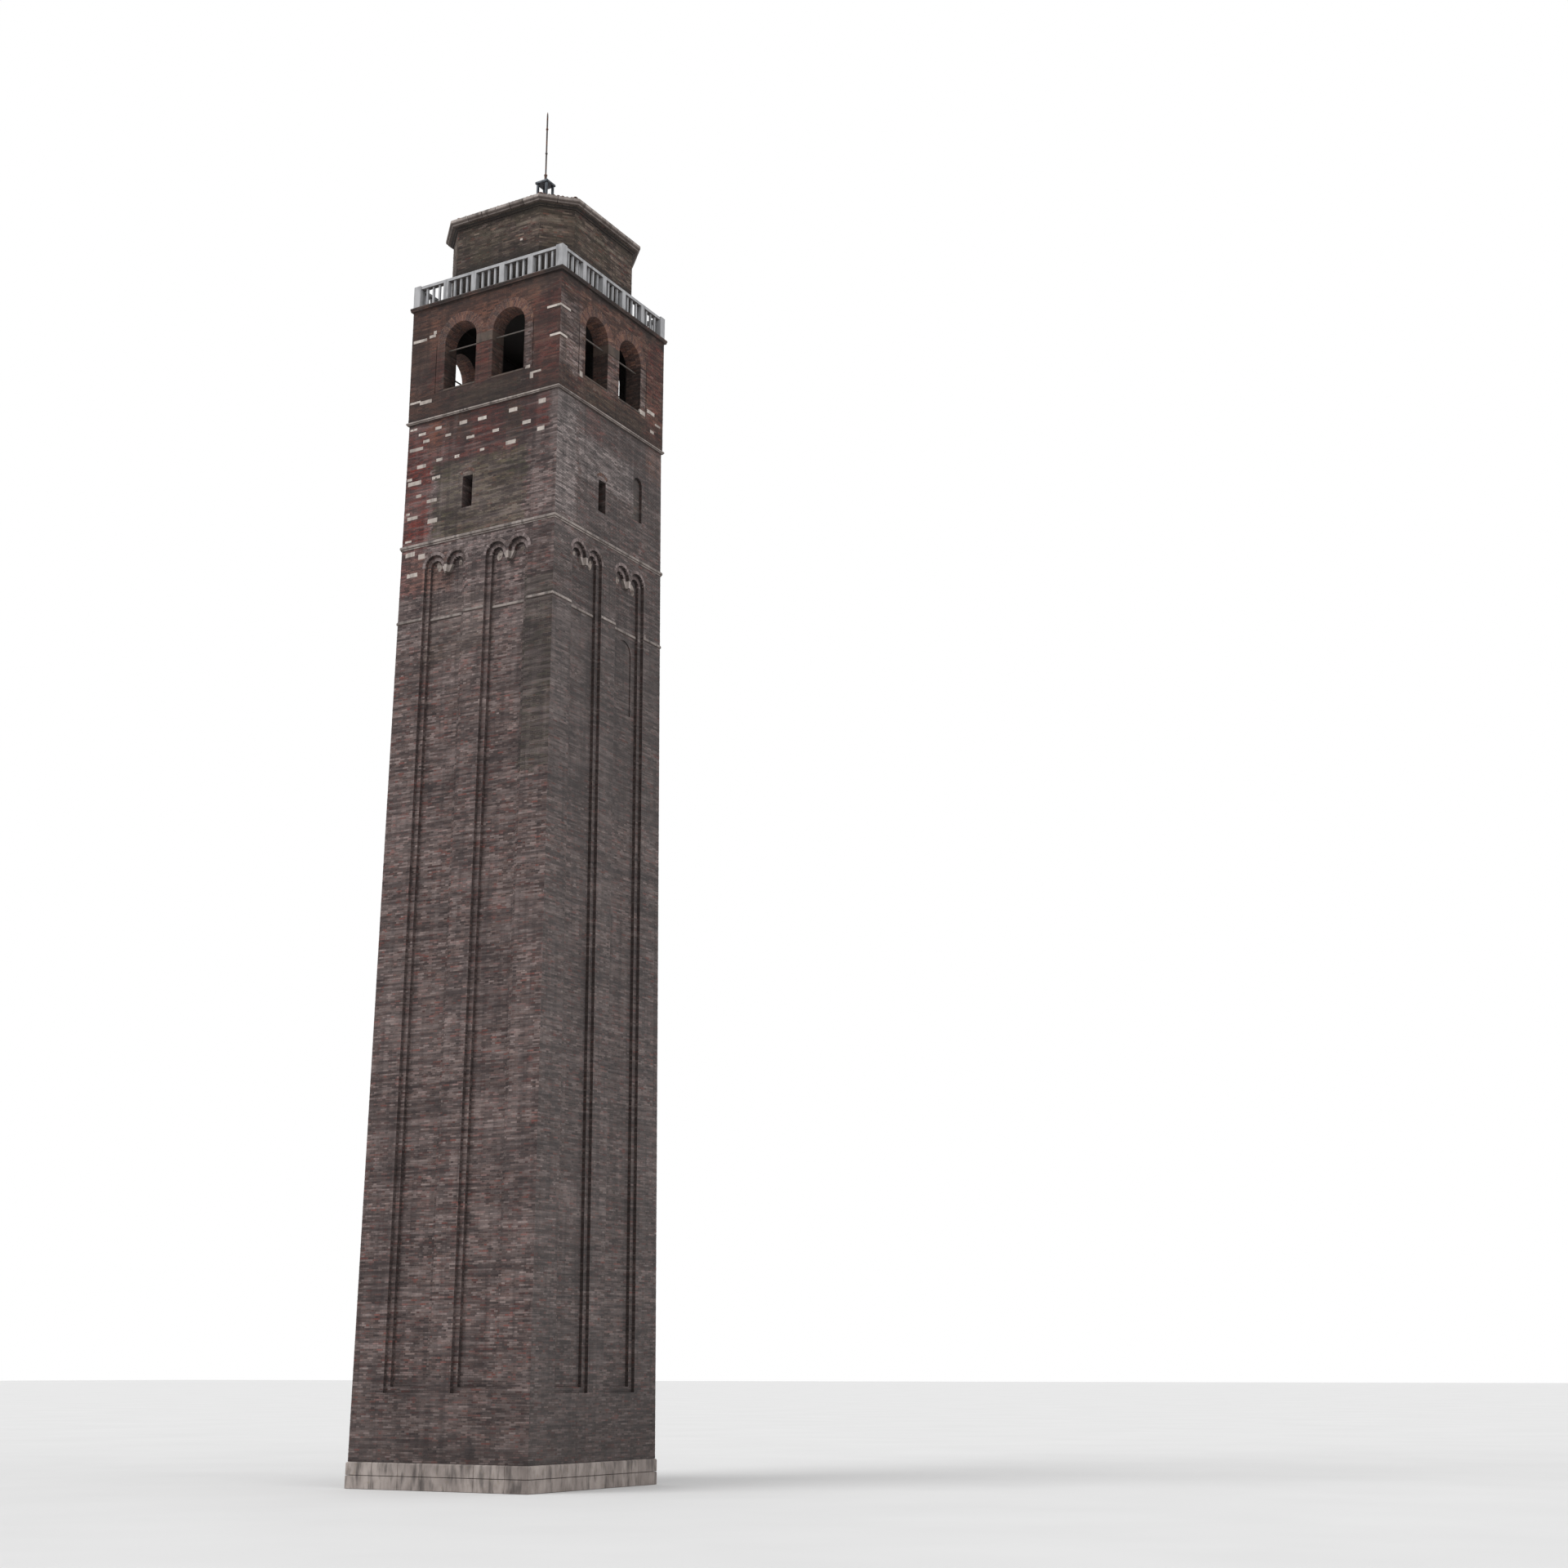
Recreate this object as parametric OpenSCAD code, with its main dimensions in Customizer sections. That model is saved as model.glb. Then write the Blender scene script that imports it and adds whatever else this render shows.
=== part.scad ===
// Brick bell tower with a terrace, a chamfered drum and a small roof lantern, at half size.
// Millimetres. +Z is up, the origin is the centre of the foot, the front face looks along -Y.

/* [Shaft] */
// Width of the brick shaft at the ground
shaft_base_w = 3860; // [3700:10:4100]
// How much each face of the shaft leans in from the ground to its top
shaft_taper = 135; // [80:5:190]
// Thickness of the shaft's walls at their top
shaft_wall = 450; // [380:10:500]
// Height of the brickwork between the middle string course and the bell chamber's
upper_storey_h = 2560; // [2300:20:3200]
// Height of the stone plinth
plinth_h = 450; // [300:10:700]
// How far the plinth stands out from the brick
plinth_out = 30; // [10:5:60]
// Thickness of the paving inside the foot
ground_floor_t = 60; // [40:5:90]

/* [Blind bays] */
// Width of the pier between the two tall blind bays of a face
bay_pier_w = 476; // [400:2:560]
// Width of the pier beside a bay, measured at the middle string course
bay_corner_w = 588; // [500:2:660]
// Height at which the bays begin
bay_sill_z = 1600; // [1400:20:2600]
// Distance from the middle string course down to the spring line of the small twin arches
bay_spring_down = 450; // [350:25:900]
// Width of the step round a bay
bay_step = 100; // [60:5:120]
// Depth of each of the two orders of a bay
bay_depth = 65; // [40:5:80]
// Width of the brickwork that hangs between two small arches
pendant_w = 60; // [40:5:100]
// Height of the corbel under it
corbel_h = 150; // [90:10:220]
// Width of the corbel's foot
corbel_foot_w = 110; // [60:5:160]

/* [String courses] */
// Underside of the lowest string course
low_string_z = 15830; // [15000:10:16200]
// Height of the lowest string course
low_string_h = 60; // [40:5:90]
// How far the lowest string course stands out
low_string_out = 20; // [10:2:30]
// Underside of the middle string course
mid_string_z = 17350; // [17300:10:17600]
// Height of the middle string course
mid_string_h = 90; // [50:5:120]
// How far the middle and bell chamber string courses stand out
string_out = 35; // [20:5:60]
// Height of the string course under the bell chamber
top_string_h = 60; // [40:5:90]

/* [Slits and niche] */
// Width of the slit in each upper wall
slit_w = 240; // [160:10:320]
// Height of a slit
slit_h = 660; // [400:20:900]
// Height of a slit's foot above the middle string course
slit_up = 540; // [300:20:1100]
// Place of a slit along its face
slit_x = -280; // [-500:10:300]
// Width of the round-headed niche in the right face
niche_w = 290; // [200:10:360]
// Height of the niche from its foot to its spring line
niche_h = 800; // [500:20:1000]
// Height of the niche's foot above the middle string course
niche_up = 785; // [500:25:1000]
// Place of the niche along the right face
niche_x = 960; // [800:10:1200]
// Depth of the niche
niche_depth = 60; // [30:5:100]
// Width of the bricked-up window in the right face
blocked_w = 500; // [400:10:600]
// Height of the bricked-up window to its spring line
blocked_h = 1250; // [900:50:1300]
// Sill of the bricked-up window
blocked_z = 14200; // [13600:50:14300]
// Depth at which its filling is set back
blocked_depth = 20; // [10:2:40]

/* [Doorway] */
// Clear width of the entrance in the back wall
door_w = 450; // [380:10:520]
// Clear height of the entrance
door_h = 1050; // [960:10:1150]
// Width of the stone door frame
door_frame_w = 70; // [50:5:100]
// Depth of the stone door frame
door_frame_d = 175; // [140:5:250]
// How far the door frame stands out from the plinth
door_frame_out = 15; // [5:5:40]
// Thickness of the door leaf
door_leaf_t = 40; // [25:5:60]
// Distance from the front of the frame to the leaf
door_leaf_back = 90; // [40:5:95]

/* [Bell chamber] */
// How far the bell chamber stands out from the top of the shaft
belfry_out = 17.5; // [5:0.5:30]
// Thickness of the bell chamber's walls
belfry_wall = 360; // [320:10:400]
// Height of the parapet brickwork under the windows
parapet_h = 500; // [350:10:800]
// Height of the window sills
sill_h = 40; // [30:5:60]
// How far the sills and impost blocks stand out
sill_out = 10; // [5:1:20]
// Height of the window openings from their sills to their spring line
window_h = 1000; // [700:10:1400]
// Width of the wall between an opening and the corner
window_corner_w = 840; // [780:5:900]
// Width of a window's jamb, from the opening to the straight joint beside it
jamb_w = 200; // [140:10:260]
// Width of that straight joint
straight_joint_w = 16; // [8:1:24]
// Depth of the straight joint
straight_joint_d = 20; // [8:1:30]
// Width of the pier between two openings
mid_pier_w = 395; // [340:5:450]
// Height of the impost block on that pier
impost_h = 205; // [120:5:260]
// Distance from the spring line down to the underside of the iron tie bars
tie_down = 140; // [60:10:240]
// Thickness of the tie bars
tie_t = 24; // [16:2:40]
// Distance from the face of the wall to the tie bars
tie_back = 110; // [60:10:200]
// Height of the brickwork from the spring line to its top
arch_wall_h = 875; // [840:5:1000]
// Thickness of the bell chamber's floor
belfry_floor_t = 100; // [80:10:160]

/* [Corner cramps] */
// Height of the lower cramp on the front right corner above the sills
low_cramp_up = 500; // [300:10:600]
// Height of the upper cramp on that corner above the spring line
top_cramp_up = 110; // [40:10:300]
// Length of each arm of the lower cramp
low_cramp_len = 230; // [150:10:300]
// Length of each arm of the upper cramp
top_cramp_len = 315; // [200:10:400]
// Height of a cramp
cramp_h = 50; // [30:5:60]
// Thickness of a cramp
cramp_t = 12; // [6:1:20]

/* [Terrace] */
// How far the terrace slab stands out from the bell chamber
slab_out = 42.5; // [30:2.5:80]
// Thickness of the terrace slab
slab_h = 75; // [50:5:100]
// How far the balustrade's corner posts stand out from the bell chamber
balustrade_out = 12.5; // [0:2.5:25]
// Height of the balustrade
balustrade_h = 475; // [420:5:560]
// Width of a corner post
corner_post_w = 160; // [120:5:200]
// How far a corner post's cap rises above the rail
post_rise = 12; // [4:2:30]
// Width of the posts between two bays
pedestal_w = 120; // [80:5:150]
// Depth of the rails
rail_d = 110; // [90:5:140]
// Height of the bottom rail
foot_rail_h = 45; // [30:5:80]
// Height of the top rail
hand_rail_h = 60; // [45:5:90]
// Thickness of a baluster
baluster_w = 40; // [30:5:60]
// Number of bays on each side
bay_count = 5; // [4:1:6]
// Number of balusters in a bay
baluster_count = 3; // [2:1:4]

/* [Drum] */
// Width of the walk between the balustrade's rails and the drum
walk_w = 175; // [120:5:300]
// Length that the drum's chamfer takes off each side
drum_leg = 495; // [400:5:600]
// Thickness of the drum's walls
drum_wall = 200; // [150:10:260]
// Height of the drum's walls above the terrace
drum_h = 1675; // [1500:25:1850]
// Height of the cornice slabs
cornice_h = 125; // [90:5:160]
// Height of the bed course under them
bed_h = 60; // [40:5:90]
// How far the cornice stands out
cornice_out = 160; // [120:5:200]
// How far the bed course stands out
bed_out = 70; // [40:5:110]

/* [Roof and lantern] */
// Height of the low tiled roof
roof_h = 640; // [500:10:700]
// Distance from the cornice's edge to the roof's edge
roof_in = 160; // [120:5:220]
// Height of the roof's upright edge
roof_edge_h = 40; // [25:5:60]
// Width of the lantern's foot
lantern_w = 380; // [320:10:440]
// Height of the lantern's foot
lantern_foot_h = 120; // [80:10:200]
// Thickness of a lantern post
lantern_post_w = 44; // [34:2:56]
// Height of the lantern posts
lantern_post_h = 575; // [400:25:700]
// Distance from the lantern's axis to a post's axis
lantern_post_at = 108; // [96:1:118]
// Width of the lantern's cap
cap_w = 305; // [280:5:360]
// Height of the cap's edge
cap_edge_h = 45; // [30:5:60]
// Height of the cap's slope
cap_rise = 50; // [30:5:90]
// Radius of the socket that holds the rod
socket_r = 35; // [28:1:45]
// Height of the socket
socket_h = 150; // [100:10:220]
// Radius of the rod
rod_r = 17; // [12:1:22]
// Height of the rod above its socket
rod_h = 1480; // [1000:20:1800]

/* [Hidden] */

$fn = 48;
// Open joint between like blocks of one course
joint = 2;
// Overlap by which a cut runs past the face that it opens
past = 10;
brick = "#6f5f55";
old_brick = "#66584d";
stone = "#b4aca0";
iron = "#4a4a4c";
lead = "#3f444a";
tile = "#8a5a45";
timber = "#5d4835";

shaft_top_z = mid_string_z + mid_string_h + upper_storey_h;
batter = atan(shaft_taper / shaft_top_z);
shaft_top_half = shaft_base_w / 2 - shaft_taper;
shaft_inner = shaft_top_half - shaft_wall;
bay_edge = half_at(mid_string_z) - bay_corner_w;
bay_w = bay_edge - bay_pier_w / 2;
bay_mid = bay_edge - bay_w / 2;
belfry_half = shaft_top_half + belfry_out;
opening_w = belfry_half - window_corner_w - mid_pier_w / 2;
belfry_inner = belfry_half - belfry_wall;
opening_mid = (mid_pier_w + opening_w) / 2;
opening_edge = opening_mid + opening_w / 2;
bay_spring_z = mid_string_z - bay_spring_down;
slit_z = mid_string_z + mid_string_h + slit_up;
niche_z = mid_string_z + mid_string_h + niche_up;
parapet_z = shaft_top_z + top_string_h;
parapet_top_z = parapet_z + parapet_h;
sill_z = parapet_top_z + sill_h;
spring_z = sill_z + window_h;
tie_z = spring_z - tie_down;
belfry_top_z = spring_z + arch_wall_h;
terrace_z = belfry_top_z + slab_h;
arch_r = (bay_w - pendant_w) / 4;
arch_mid = bay_w / 2 - arch_r;
masonry_door_w = door_w + 2 * door_frame_w;
masonry_door_h = door_h + door_frame_w;
plinth_half = shaft_base_w / 2 + plinth_out;
door_front = plinth_half + door_frame_out;
slab_half = belfry_half + slab_out;
balustrade_half = belfry_half + balustrade_out;
panel_len = 2 * (balustrade_half - corner_post_w);
panel_pitch = (panel_len + pedestal_w) / bay_count;
rail_mid = balustrade_half - corner_post_w / 2;
drum_half = rail_mid - rail_d / 2 - walk_w;
cornice_z = terrace_z + drum_h;
roof_z = cornice_z + bed_h + cornice_h;
lantern_z = roof_z + roof_h;
lantern_top_z = lantern_z + lantern_foot_h + lantern_post_h;
socket_z = lantern_top_z + cap_edge_h + cap_rise;
diagonal = 2 - sqrt(2);

// Half of the shaft's width at a height
function half_at(z) = shaft_base_w / 2 - tan(batter) * z;

// Turns a front piece to face number n: front, right, back, left
module face(n) {
    rotate([0, 0, 90 * n])
        children();
}

// Lays a drawing on the leaning face of the shaft: x along it, y into the wall, z up
module on_shaft(n) {
    face(n)
        translate([0, -half_at(0), 0])
            rotate([-batter, 0, 0])
                children();
}

// Extrudes an outline drawn in x and z by a depth into the wall, from y = at
module into_wall(at, depth) {
    translate([0, at + depth, 0])
        rotate([90, 0, 0])
            linear_extrude(depth)
                children();
}

// One quarter of a square plan, cut at 45 degrees towards both corners
module quarter(z0, z1, reach, gap = 0) {
    translate([0, 0, z0])
        linear_extrude(z1 - z0)
            polygon([[0, -gap], [-reach + gap, -reach], [reach - gap, -reach]]);
}

// A length of the shaft's front wall between two heights
module shaft_piece(z0, z1) {
    intersection() {
        translate([-shaft_base_w, 0, 0])
            rotate([90, 0, 90])
                linear_extrude(2 * shaft_base_w)
                    polygon([
                        [-half_at(z0), z0],
                        [-shaft_inner, z0],
                        [-shaft_inner, z1],
                        [-half_at(z1), z1]
                    ]);
        quarter(z0, z1, shaft_base_w);
    }
}

// Four bars of a square ring with open joints at the corners
module ring_bars(z, h, outer, inner) {
    translate([0, 0, z])
        linear_extrude(h)
            for (n = [0:3])
                rotate(90 * n)
                    polygon([
                        [-outer + joint, -outer],
                        [outer - joint, -outer],
                        [inner - joint, -inner],
                        [-inner + joint, -inner]
                    ]);
}

// Square plan with cut corners
module cut_square(half, leg) {
    side = half - leg;
    polygon([
        [-side, -half], [side, -half], [half, -side], [half, side],
        [side, half], [-side, half], [-half, side], [-half, -side]
    ]);
}

// Round-headed outline, foot at z = 0
module round_head(w, h) {
    translate([-w / 2, 0])
        square([w, h]);
    translate([0, h])
        circle(d = w);
}

// Outline of a blind bay with its twin arches, set in by a step
module bay_outline(step) {
    w = bay_w - 2 * step;
    translate([-w / 2, bay_sill_z + step])
        square([w, bay_spring_z - bay_sill_z - step]);
    for (side = [-1, 1])
        translate([side * arch_mid, bay_spring_z])
            circle(r = arch_r - step);
}

// Both blind bays of a face, in two orders
module bay_cuts() {
    for (side = [-1, 1])
        translate([side * bay_mid, 0, 0]) {
            into_wall(-past, bay_depth + past)
                bay_outline(0);
            into_wall(0, 2 * bay_depth)
                bay_outline(bay_step);
        }
}

module lower_wall(n, z0) {
    color(brick)
        difference() {
            face(n)
                shaft_piece(z0, mid_string_z);
            on_shaft(n)
                bay_cuts();
        }
}

module upper_wall(n) {
    color(old_brick)
        difference() {
            face(n)
                shaft_piece(mid_string_z + mid_string_h, shaft_top_z);
            face(n)
                translate([slit_x - slit_w / 2, -shaft_base_w / 2, slit_z])
                    cube([slit_w, shaft_base_w / 2, slit_h]);
        }
}

module arch_wall(n) {
    color(brick)
        face(n)
            difference() {
                intersection() {
                    quarter(spring_z, belfry_top_z, 2 * belfry_half);
                    translate([-2 * belfry_half, -belfry_half, spring_z])
                        cube([4 * belfry_half, belfry_wall, arch_wall_h]);
                }
                for (side = [-1, 1])
                    translate([side * opening_mid, -belfry_half + belfry_wall + past, spring_z])
                        rotate([90, 0, 0])
                            cylinder(d = opening_w, h = belfry_wall + 2 * past);
            }
}

module balustrade(n) {
    step = (panel_pitch - pedestal_w - baluster_count * baluster_w) / (baluster_count + 1);
    color(stone)
        face(n)
            translate([0, -rail_mid, terrace_z]) {
                translate([-panel_len / 2, -rail_d / 2, 0])
                    cube([panel_len, rail_d, foot_rail_h]);
                translate([-panel_len / 2, -rail_d / 2, balustrade_h - hand_rail_h])
                    cube([panel_len, rail_d, hand_rail_h]);
                for (i = [1:bay_count - 1])
                    translate([-panel_len / 2 + i * panel_pitch - pedestal_w, -rail_d / 2, 0])
                        cube([pedestal_w, rail_d, balustrade_h]);
                for (i = [0:bay_count - 1], j = [0:baluster_count - 1])
                    translate([
                        -panel_len / 2 + i * panel_pitch + step + j * (step + baluster_w),
                        -baluster_w / 2,
                        0
                    ])
                        cube([baluster_w, baluster_w, balustrade_h]);
            }
}

module ground_floor() {
    color(stone)
        translate([-shaft_inner, -shaft_inner, 0])
            cube([2 * shaft_inner, 2 * shaft_inner, ground_floor_t]);
}

module plinth() {
    color(stone)
        difference() {
            ring_bars(0, plinth_h, plinth_half, shaft_inner);
            translate([-masonry_door_w / 2, 0, -past])
                cube([masonry_door_w, plinth_half + past, plinth_h + 2 * past]);
        }
}

module door_piers() {
    color(brick)
        difference() {
            face(2)
                shaft_piece(plinth_h, masonry_door_h);
            translate([-masonry_door_w / 2, 0, plinth_h - past])
                cube([masonry_door_w, shaft_base_w, masonry_door_h]);
        }
}

module door_threshold() {
    color(stone)
        translate([-door_w / 2, shaft_inner, 0])
            cube([door_w, plinth_half - shaft_inner, ground_floor_t]);
}

module door_frame() {
    color(stone)
        difference() {
            translate([-masonry_door_w / 2, door_front - door_frame_d, 0])
                cube([masonry_door_w, door_frame_d, masonry_door_h]);
            translate([-door_w / 2, door_front - door_frame_d - past, -past])
                cube([door_w, door_frame_d + 2 * past, door_h + past]);
        }
}

module door_leaf() {
    color(timber)
        translate([-door_w / 2, door_front - door_leaf_back - door_leaf_t, ground_floor_t])
            cube([door_w, door_leaf_t, door_h - ground_floor_t]);
}

module lower_wall_front() {
    lower_wall(0, plinth_h);
}

module lower_wall_right() {
    color(brick)
        difference() {
            lower_wall(1, plinth_h);
            on_shaft(1)
                translate([bay_mid, 0, blocked_z])
                    into_wall(0, 2 * bay_depth + blocked_depth)
                        round_head(blocked_w, blocked_h);
        }
}

module lower_wall_back() {
    lower_wall(2, masonry_door_h);
}

module lower_wall_left() {
    lower_wall(3, plinth_h);
}

// Tapered blocks under the brickwork that hangs between two small arches
module arch_corbels() {
    color(stone)
        for (n = [0:3], side = [-1, 1])
            on_shaft(n)
                translate([side * bay_mid, 0, bay_spring_z]) {
                    into_wall(bay_depth, bay_depth)
                        corbel_outline(pendant_w + 2 * bay_step);
                    into_wall(0, bay_depth)
                        corbel_outline(pendant_w);
                }
}

module corbel_outline(top_w) {
    foot = min(corbel_foot_w, top_w) / 2;
    polygon([[-top_w / 2, 0], [-foot, -corbel_h], [foot, -corbel_h], [top_w / 2, 0]]);
}

// Thin stone course that follows the piers and the back of the bays
module low_string_course() {
    inner_w = bay_w - 2 * bay_step;
    corner = half_at(low_string_z);
    color(stone)
        for (n = [0:3])
            on_shaft(n)
                translate([0, 0, low_string_z]) {
                    translate([-bay_pier_w / 2, -low_string_out, 0])
                        cube([bay_pier_w, low_string_out, low_string_h]);
                    for (side = [-1, 1])
                        translate([side * bay_mid - inner_w / 2, 2 * bay_depth - low_string_out, 0])
                            cube([inner_w, low_string_out, low_string_h]);
                    translate([bay_edge, -low_string_out, 0])
                        cube([corner - bay_edge, low_string_out, low_string_h]);
                    translate([-corner + joint, -low_string_out, 0])
                        cube([corner - bay_edge - joint, low_string_out, low_string_h]);
                }
}

module middle_string_course() {
    color(stone)
        ring_bars(mid_string_z, mid_string_h, half_at(mid_string_z) + string_out, shaft_inner);
}

module upper_wall_front() {
    upper_wall(0);
}

module upper_wall_right() {
    color(old_brick)
        difference() {
            upper_wall(1);
            on_shaft(1)
                translate([niche_x, 0, niche_z])
                    into_wall(-past, niche_depth + past)
                        round_head(niche_w, niche_h);
        }
}

module upper_wall_back() {
    upper_wall(2);
}

module upper_wall_left() {
    upper_wall(3);
}

module belfry_string_course() {
    color(stone)
        ring_bars(shaft_top_z, top_string_h, belfry_half + string_out, belfry_inner);
}

module belfry_floor() {
    color(timber)
        translate([-belfry_inner, -belfry_inner, shaft_top_z])
            cube([2 * belfry_inner, 2 * belfry_inner, belfry_floor_t]);
}

module belfry_parapets() {
    color(brick)
        ring_bars(parapet_z, parapet_h, belfry_half, belfry_inner);
}

module window_sills() {
    color(stone)
        for (n = [0:3], side = [-1, 1])
            face(n)
                translate([
                    side * opening_mid - opening_w / 2,
                    -belfry_half - sill_out,
                    parapet_top_z
                ])
                    cube([opening_w, belfry_wall + sill_out, sill_h]);
}

// L-shaped piers, as thick as the walls that they join, with a straight joint beside each jamb
module corner_piers() {
    near = opening_edge + jamb_w;
    far = near + straight_joint_w;
    bed = belfry_half - straight_joint_d;
    color(brick)
        translate([0, 0, parapet_top_z])
            linear_extrude(spring_z - parapet_top_z)
                for (n = [0:3])
                    rotate(90 * n)
                        polygon([
                            [opening_edge, -belfry_half],
                            [near, -belfry_half], [near, -bed],
                            [far, -bed], [far, -belfry_half],
                            [belfry_half, -belfry_half],
                            [belfry_half, -far], [bed, -far],
                            [bed, -near], [belfry_half, -near],
                            [belfry_half, -opening_edge],
                            [belfry_inner, -opening_edge],
                            [belfry_inner, -belfry_inner],
                            [opening_edge, -belfry_inner]
                        ]);
}

module middle_piers() {
    color(brick)
        for (n = [0:3])
            face(n)
                translate([-mid_pier_w / 2, -belfry_half, parapet_top_z])
                    cube([mid_pier_w, belfry_wall, spring_z - impost_h - parapet_top_z]);
}

module impost_blocks() {
    color(stone)
        for (n = [0:3])
            face(n)
                translate([-mid_pier_w / 2, -belfry_half - sill_out, spring_z - impost_h])
                    cube([mid_pier_w, belfry_wall + sill_out, impost_h]);
}

module tie_bars() {
    color(iron)
        for (n = [0:3], side = [-1, 1])
            face(n)
                translate([side * opening_mid - opening_w / 2, -belfry_half + tie_back, tie_z])
                    cube([opening_w, tie_t, tie_t]);
}

module cramp(z, len) {
    translate([belfry_half, -belfry_half, z])
        linear_extrude(cramp_h)
            polygon([
                [-len, -cramp_t], [cramp_t, -cramp_t], [cramp_t, len],
                [0, len], [0, 0], [-len, 0]
            ]);
}

// Flat cramps that wrap the front right corner
module corner_cramps() {
    color(stone) {
        cramp(sill_z + low_cramp_up, low_cramp_len);
        cramp(spring_z + top_cramp_up, top_cramp_len);
    }
}

module arch_wall_front() {
    arch_wall(0);
}

module arch_wall_right() {
    arch_wall(1);
}

module arch_wall_back() {
    arch_wall(2);
}

module arch_wall_left() {
    arch_wall(3);
}

module terrace_slab() {
    color(stone)
        translate([-slab_half, -slab_half, belfry_top_z])
            cube([2 * slab_half, 2 * slab_half, slab_h]);
}

module balustrade_front() {
    balustrade(0);
}

module balustrade_right() {
    balustrade(1);
}

module balustrade_back() {
    balustrade(2);
}

module balustrade_left() {
    balustrade(3);
}

module balustrade_corner_posts() {
    color(stone)
        for (n = [0:3])
            face(n)
                translate([balustrade_half - corner_post_w, -balustrade_half, terrace_z])
                    cube([corner_post_w, corner_post_w, balustrade_h + post_rise]);
}

module drum_walls() {
    side = drum_half - drum_leg;
    inner_side = drum_half - drum_wall - drum_leg + diagonal * drum_wall;
    color(old_brick)
        translate([0, 0, terrace_z])
            linear_extrude(drum_h)
                for (n = [0:3])
                    rotate(90 * n)
                        polygon([
                            [-side, -drum_half], [side, -drum_half],
                            [inner_side, -drum_half + drum_wall],
                            [-inner_side, -drum_half + drum_wall]
                        ]);
}

module drum_corner_walls() {
    side = drum_half - drum_leg;
    inner = drum_half - drum_wall;
    inner_side = inner - drum_leg + diagonal * drum_wall;
    color(old_brick)
        translate([0, 0, terrace_z])
            linear_extrude(drum_h)
                for (n = [0:3])
                    rotate(90 * n)
                        polygon([
                            [side, -drum_half], [drum_half, -side],
                            [inner, -inner_side], [inner_side, -inner]
                        ]);
}

module drum_cornice() {
    color(stone) {
        translate([0, 0, cornice_z])
            linear_extrude(bed_h)
                cut_square(drum_half + bed_out, drum_leg + diagonal * bed_out);
        translate([0, 0, cornice_z + bed_h])
            linear_extrude(cornice_h)
                cut_square(drum_half + cornice_out, drum_leg + diagonal * cornice_out);
    }
}

module drum_roof() {
    out = cornice_out - roof_in;
    color(tile)
        hull() {
            translate([0, 0, roof_z])
                linear_extrude(roof_edge_h)
                    cut_square(drum_half + out, drum_leg + diagonal * out);
            translate([-lantern_w / 2, -lantern_w / 2, roof_z])
                cube([lantern_w, lantern_w, roof_h]);
        }
}

module lantern_foot() {
    color(stone)
        translate([-lantern_w / 2, -lantern_w / 2, lantern_z])
            cube([lantern_w, lantern_w, lantern_foot_h]);
}

module lantern_posts() {
    color(lead)
        for (n = [0:3])
            face(n)
                translate([
                    lantern_post_at - lantern_post_w / 2,
                    lantern_post_at - lantern_post_w / 2,
                    lantern_z + lantern_foot_h
                ])
                    cube([lantern_post_w, lantern_post_w, lantern_post_h]);
}

module lantern_cap() {
    color(lead)
        hull() {
            translate([-cap_w / 2, -cap_w / 2, lantern_top_z])
                cube([cap_w, cap_w, cap_edge_h]);
            translate([-socket_r, -socket_r, lantern_top_z])
                cube([2 * socket_r, 2 * socket_r, cap_edge_h + cap_rise]);
        }
}

module rod() {
    color(iron)
        translate([0, 0, socket_z]) {
            cylinder(r = socket_r, h = socket_h);
            cylinder(r = rod_r, h = socket_h + rod_h);
        }
}

ground_floor();
plinth();
door_piers();
door_threshold();
door_frame();
door_leaf();
lower_wall_front();
lower_wall_right();
lower_wall_back();
lower_wall_left();
arch_corbels();
low_string_course();
middle_string_course();
upper_wall_front();
upper_wall_right();
upper_wall_back();
upper_wall_left();
belfry_string_course();
belfry_floor();
belfry_parapets();
window_sills();
corner_piers();
middle_piers();
impost_blocks();
tie_bars();
corner_cramps();
arch_wall_front();
arch_wall_right();
arch_wall_back();
arch_wall_left();
terrace_slab();
balustrade_front();
balustrade_right();
balustrade_back();
balustrade_left();
balustrade_corner_posts();
drum_walls();
drum_corner_walls();
drum_cornice();
drum_roof();
lantern_foot();
lantern_posts();
lantern_cap();
rod();
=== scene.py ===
"""Looks of a brick bell tower at half size, laid out as an add-on and run as a script.

Every length is in metres in the tower's own frame: +Z up, the front looks along -Y.
"""
import math
import random

import bmesh
import bpy
from bpy.props import FloatProperty, FloatVectorProperty, IntProperty, PointerProperty
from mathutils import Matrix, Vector, noise


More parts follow.
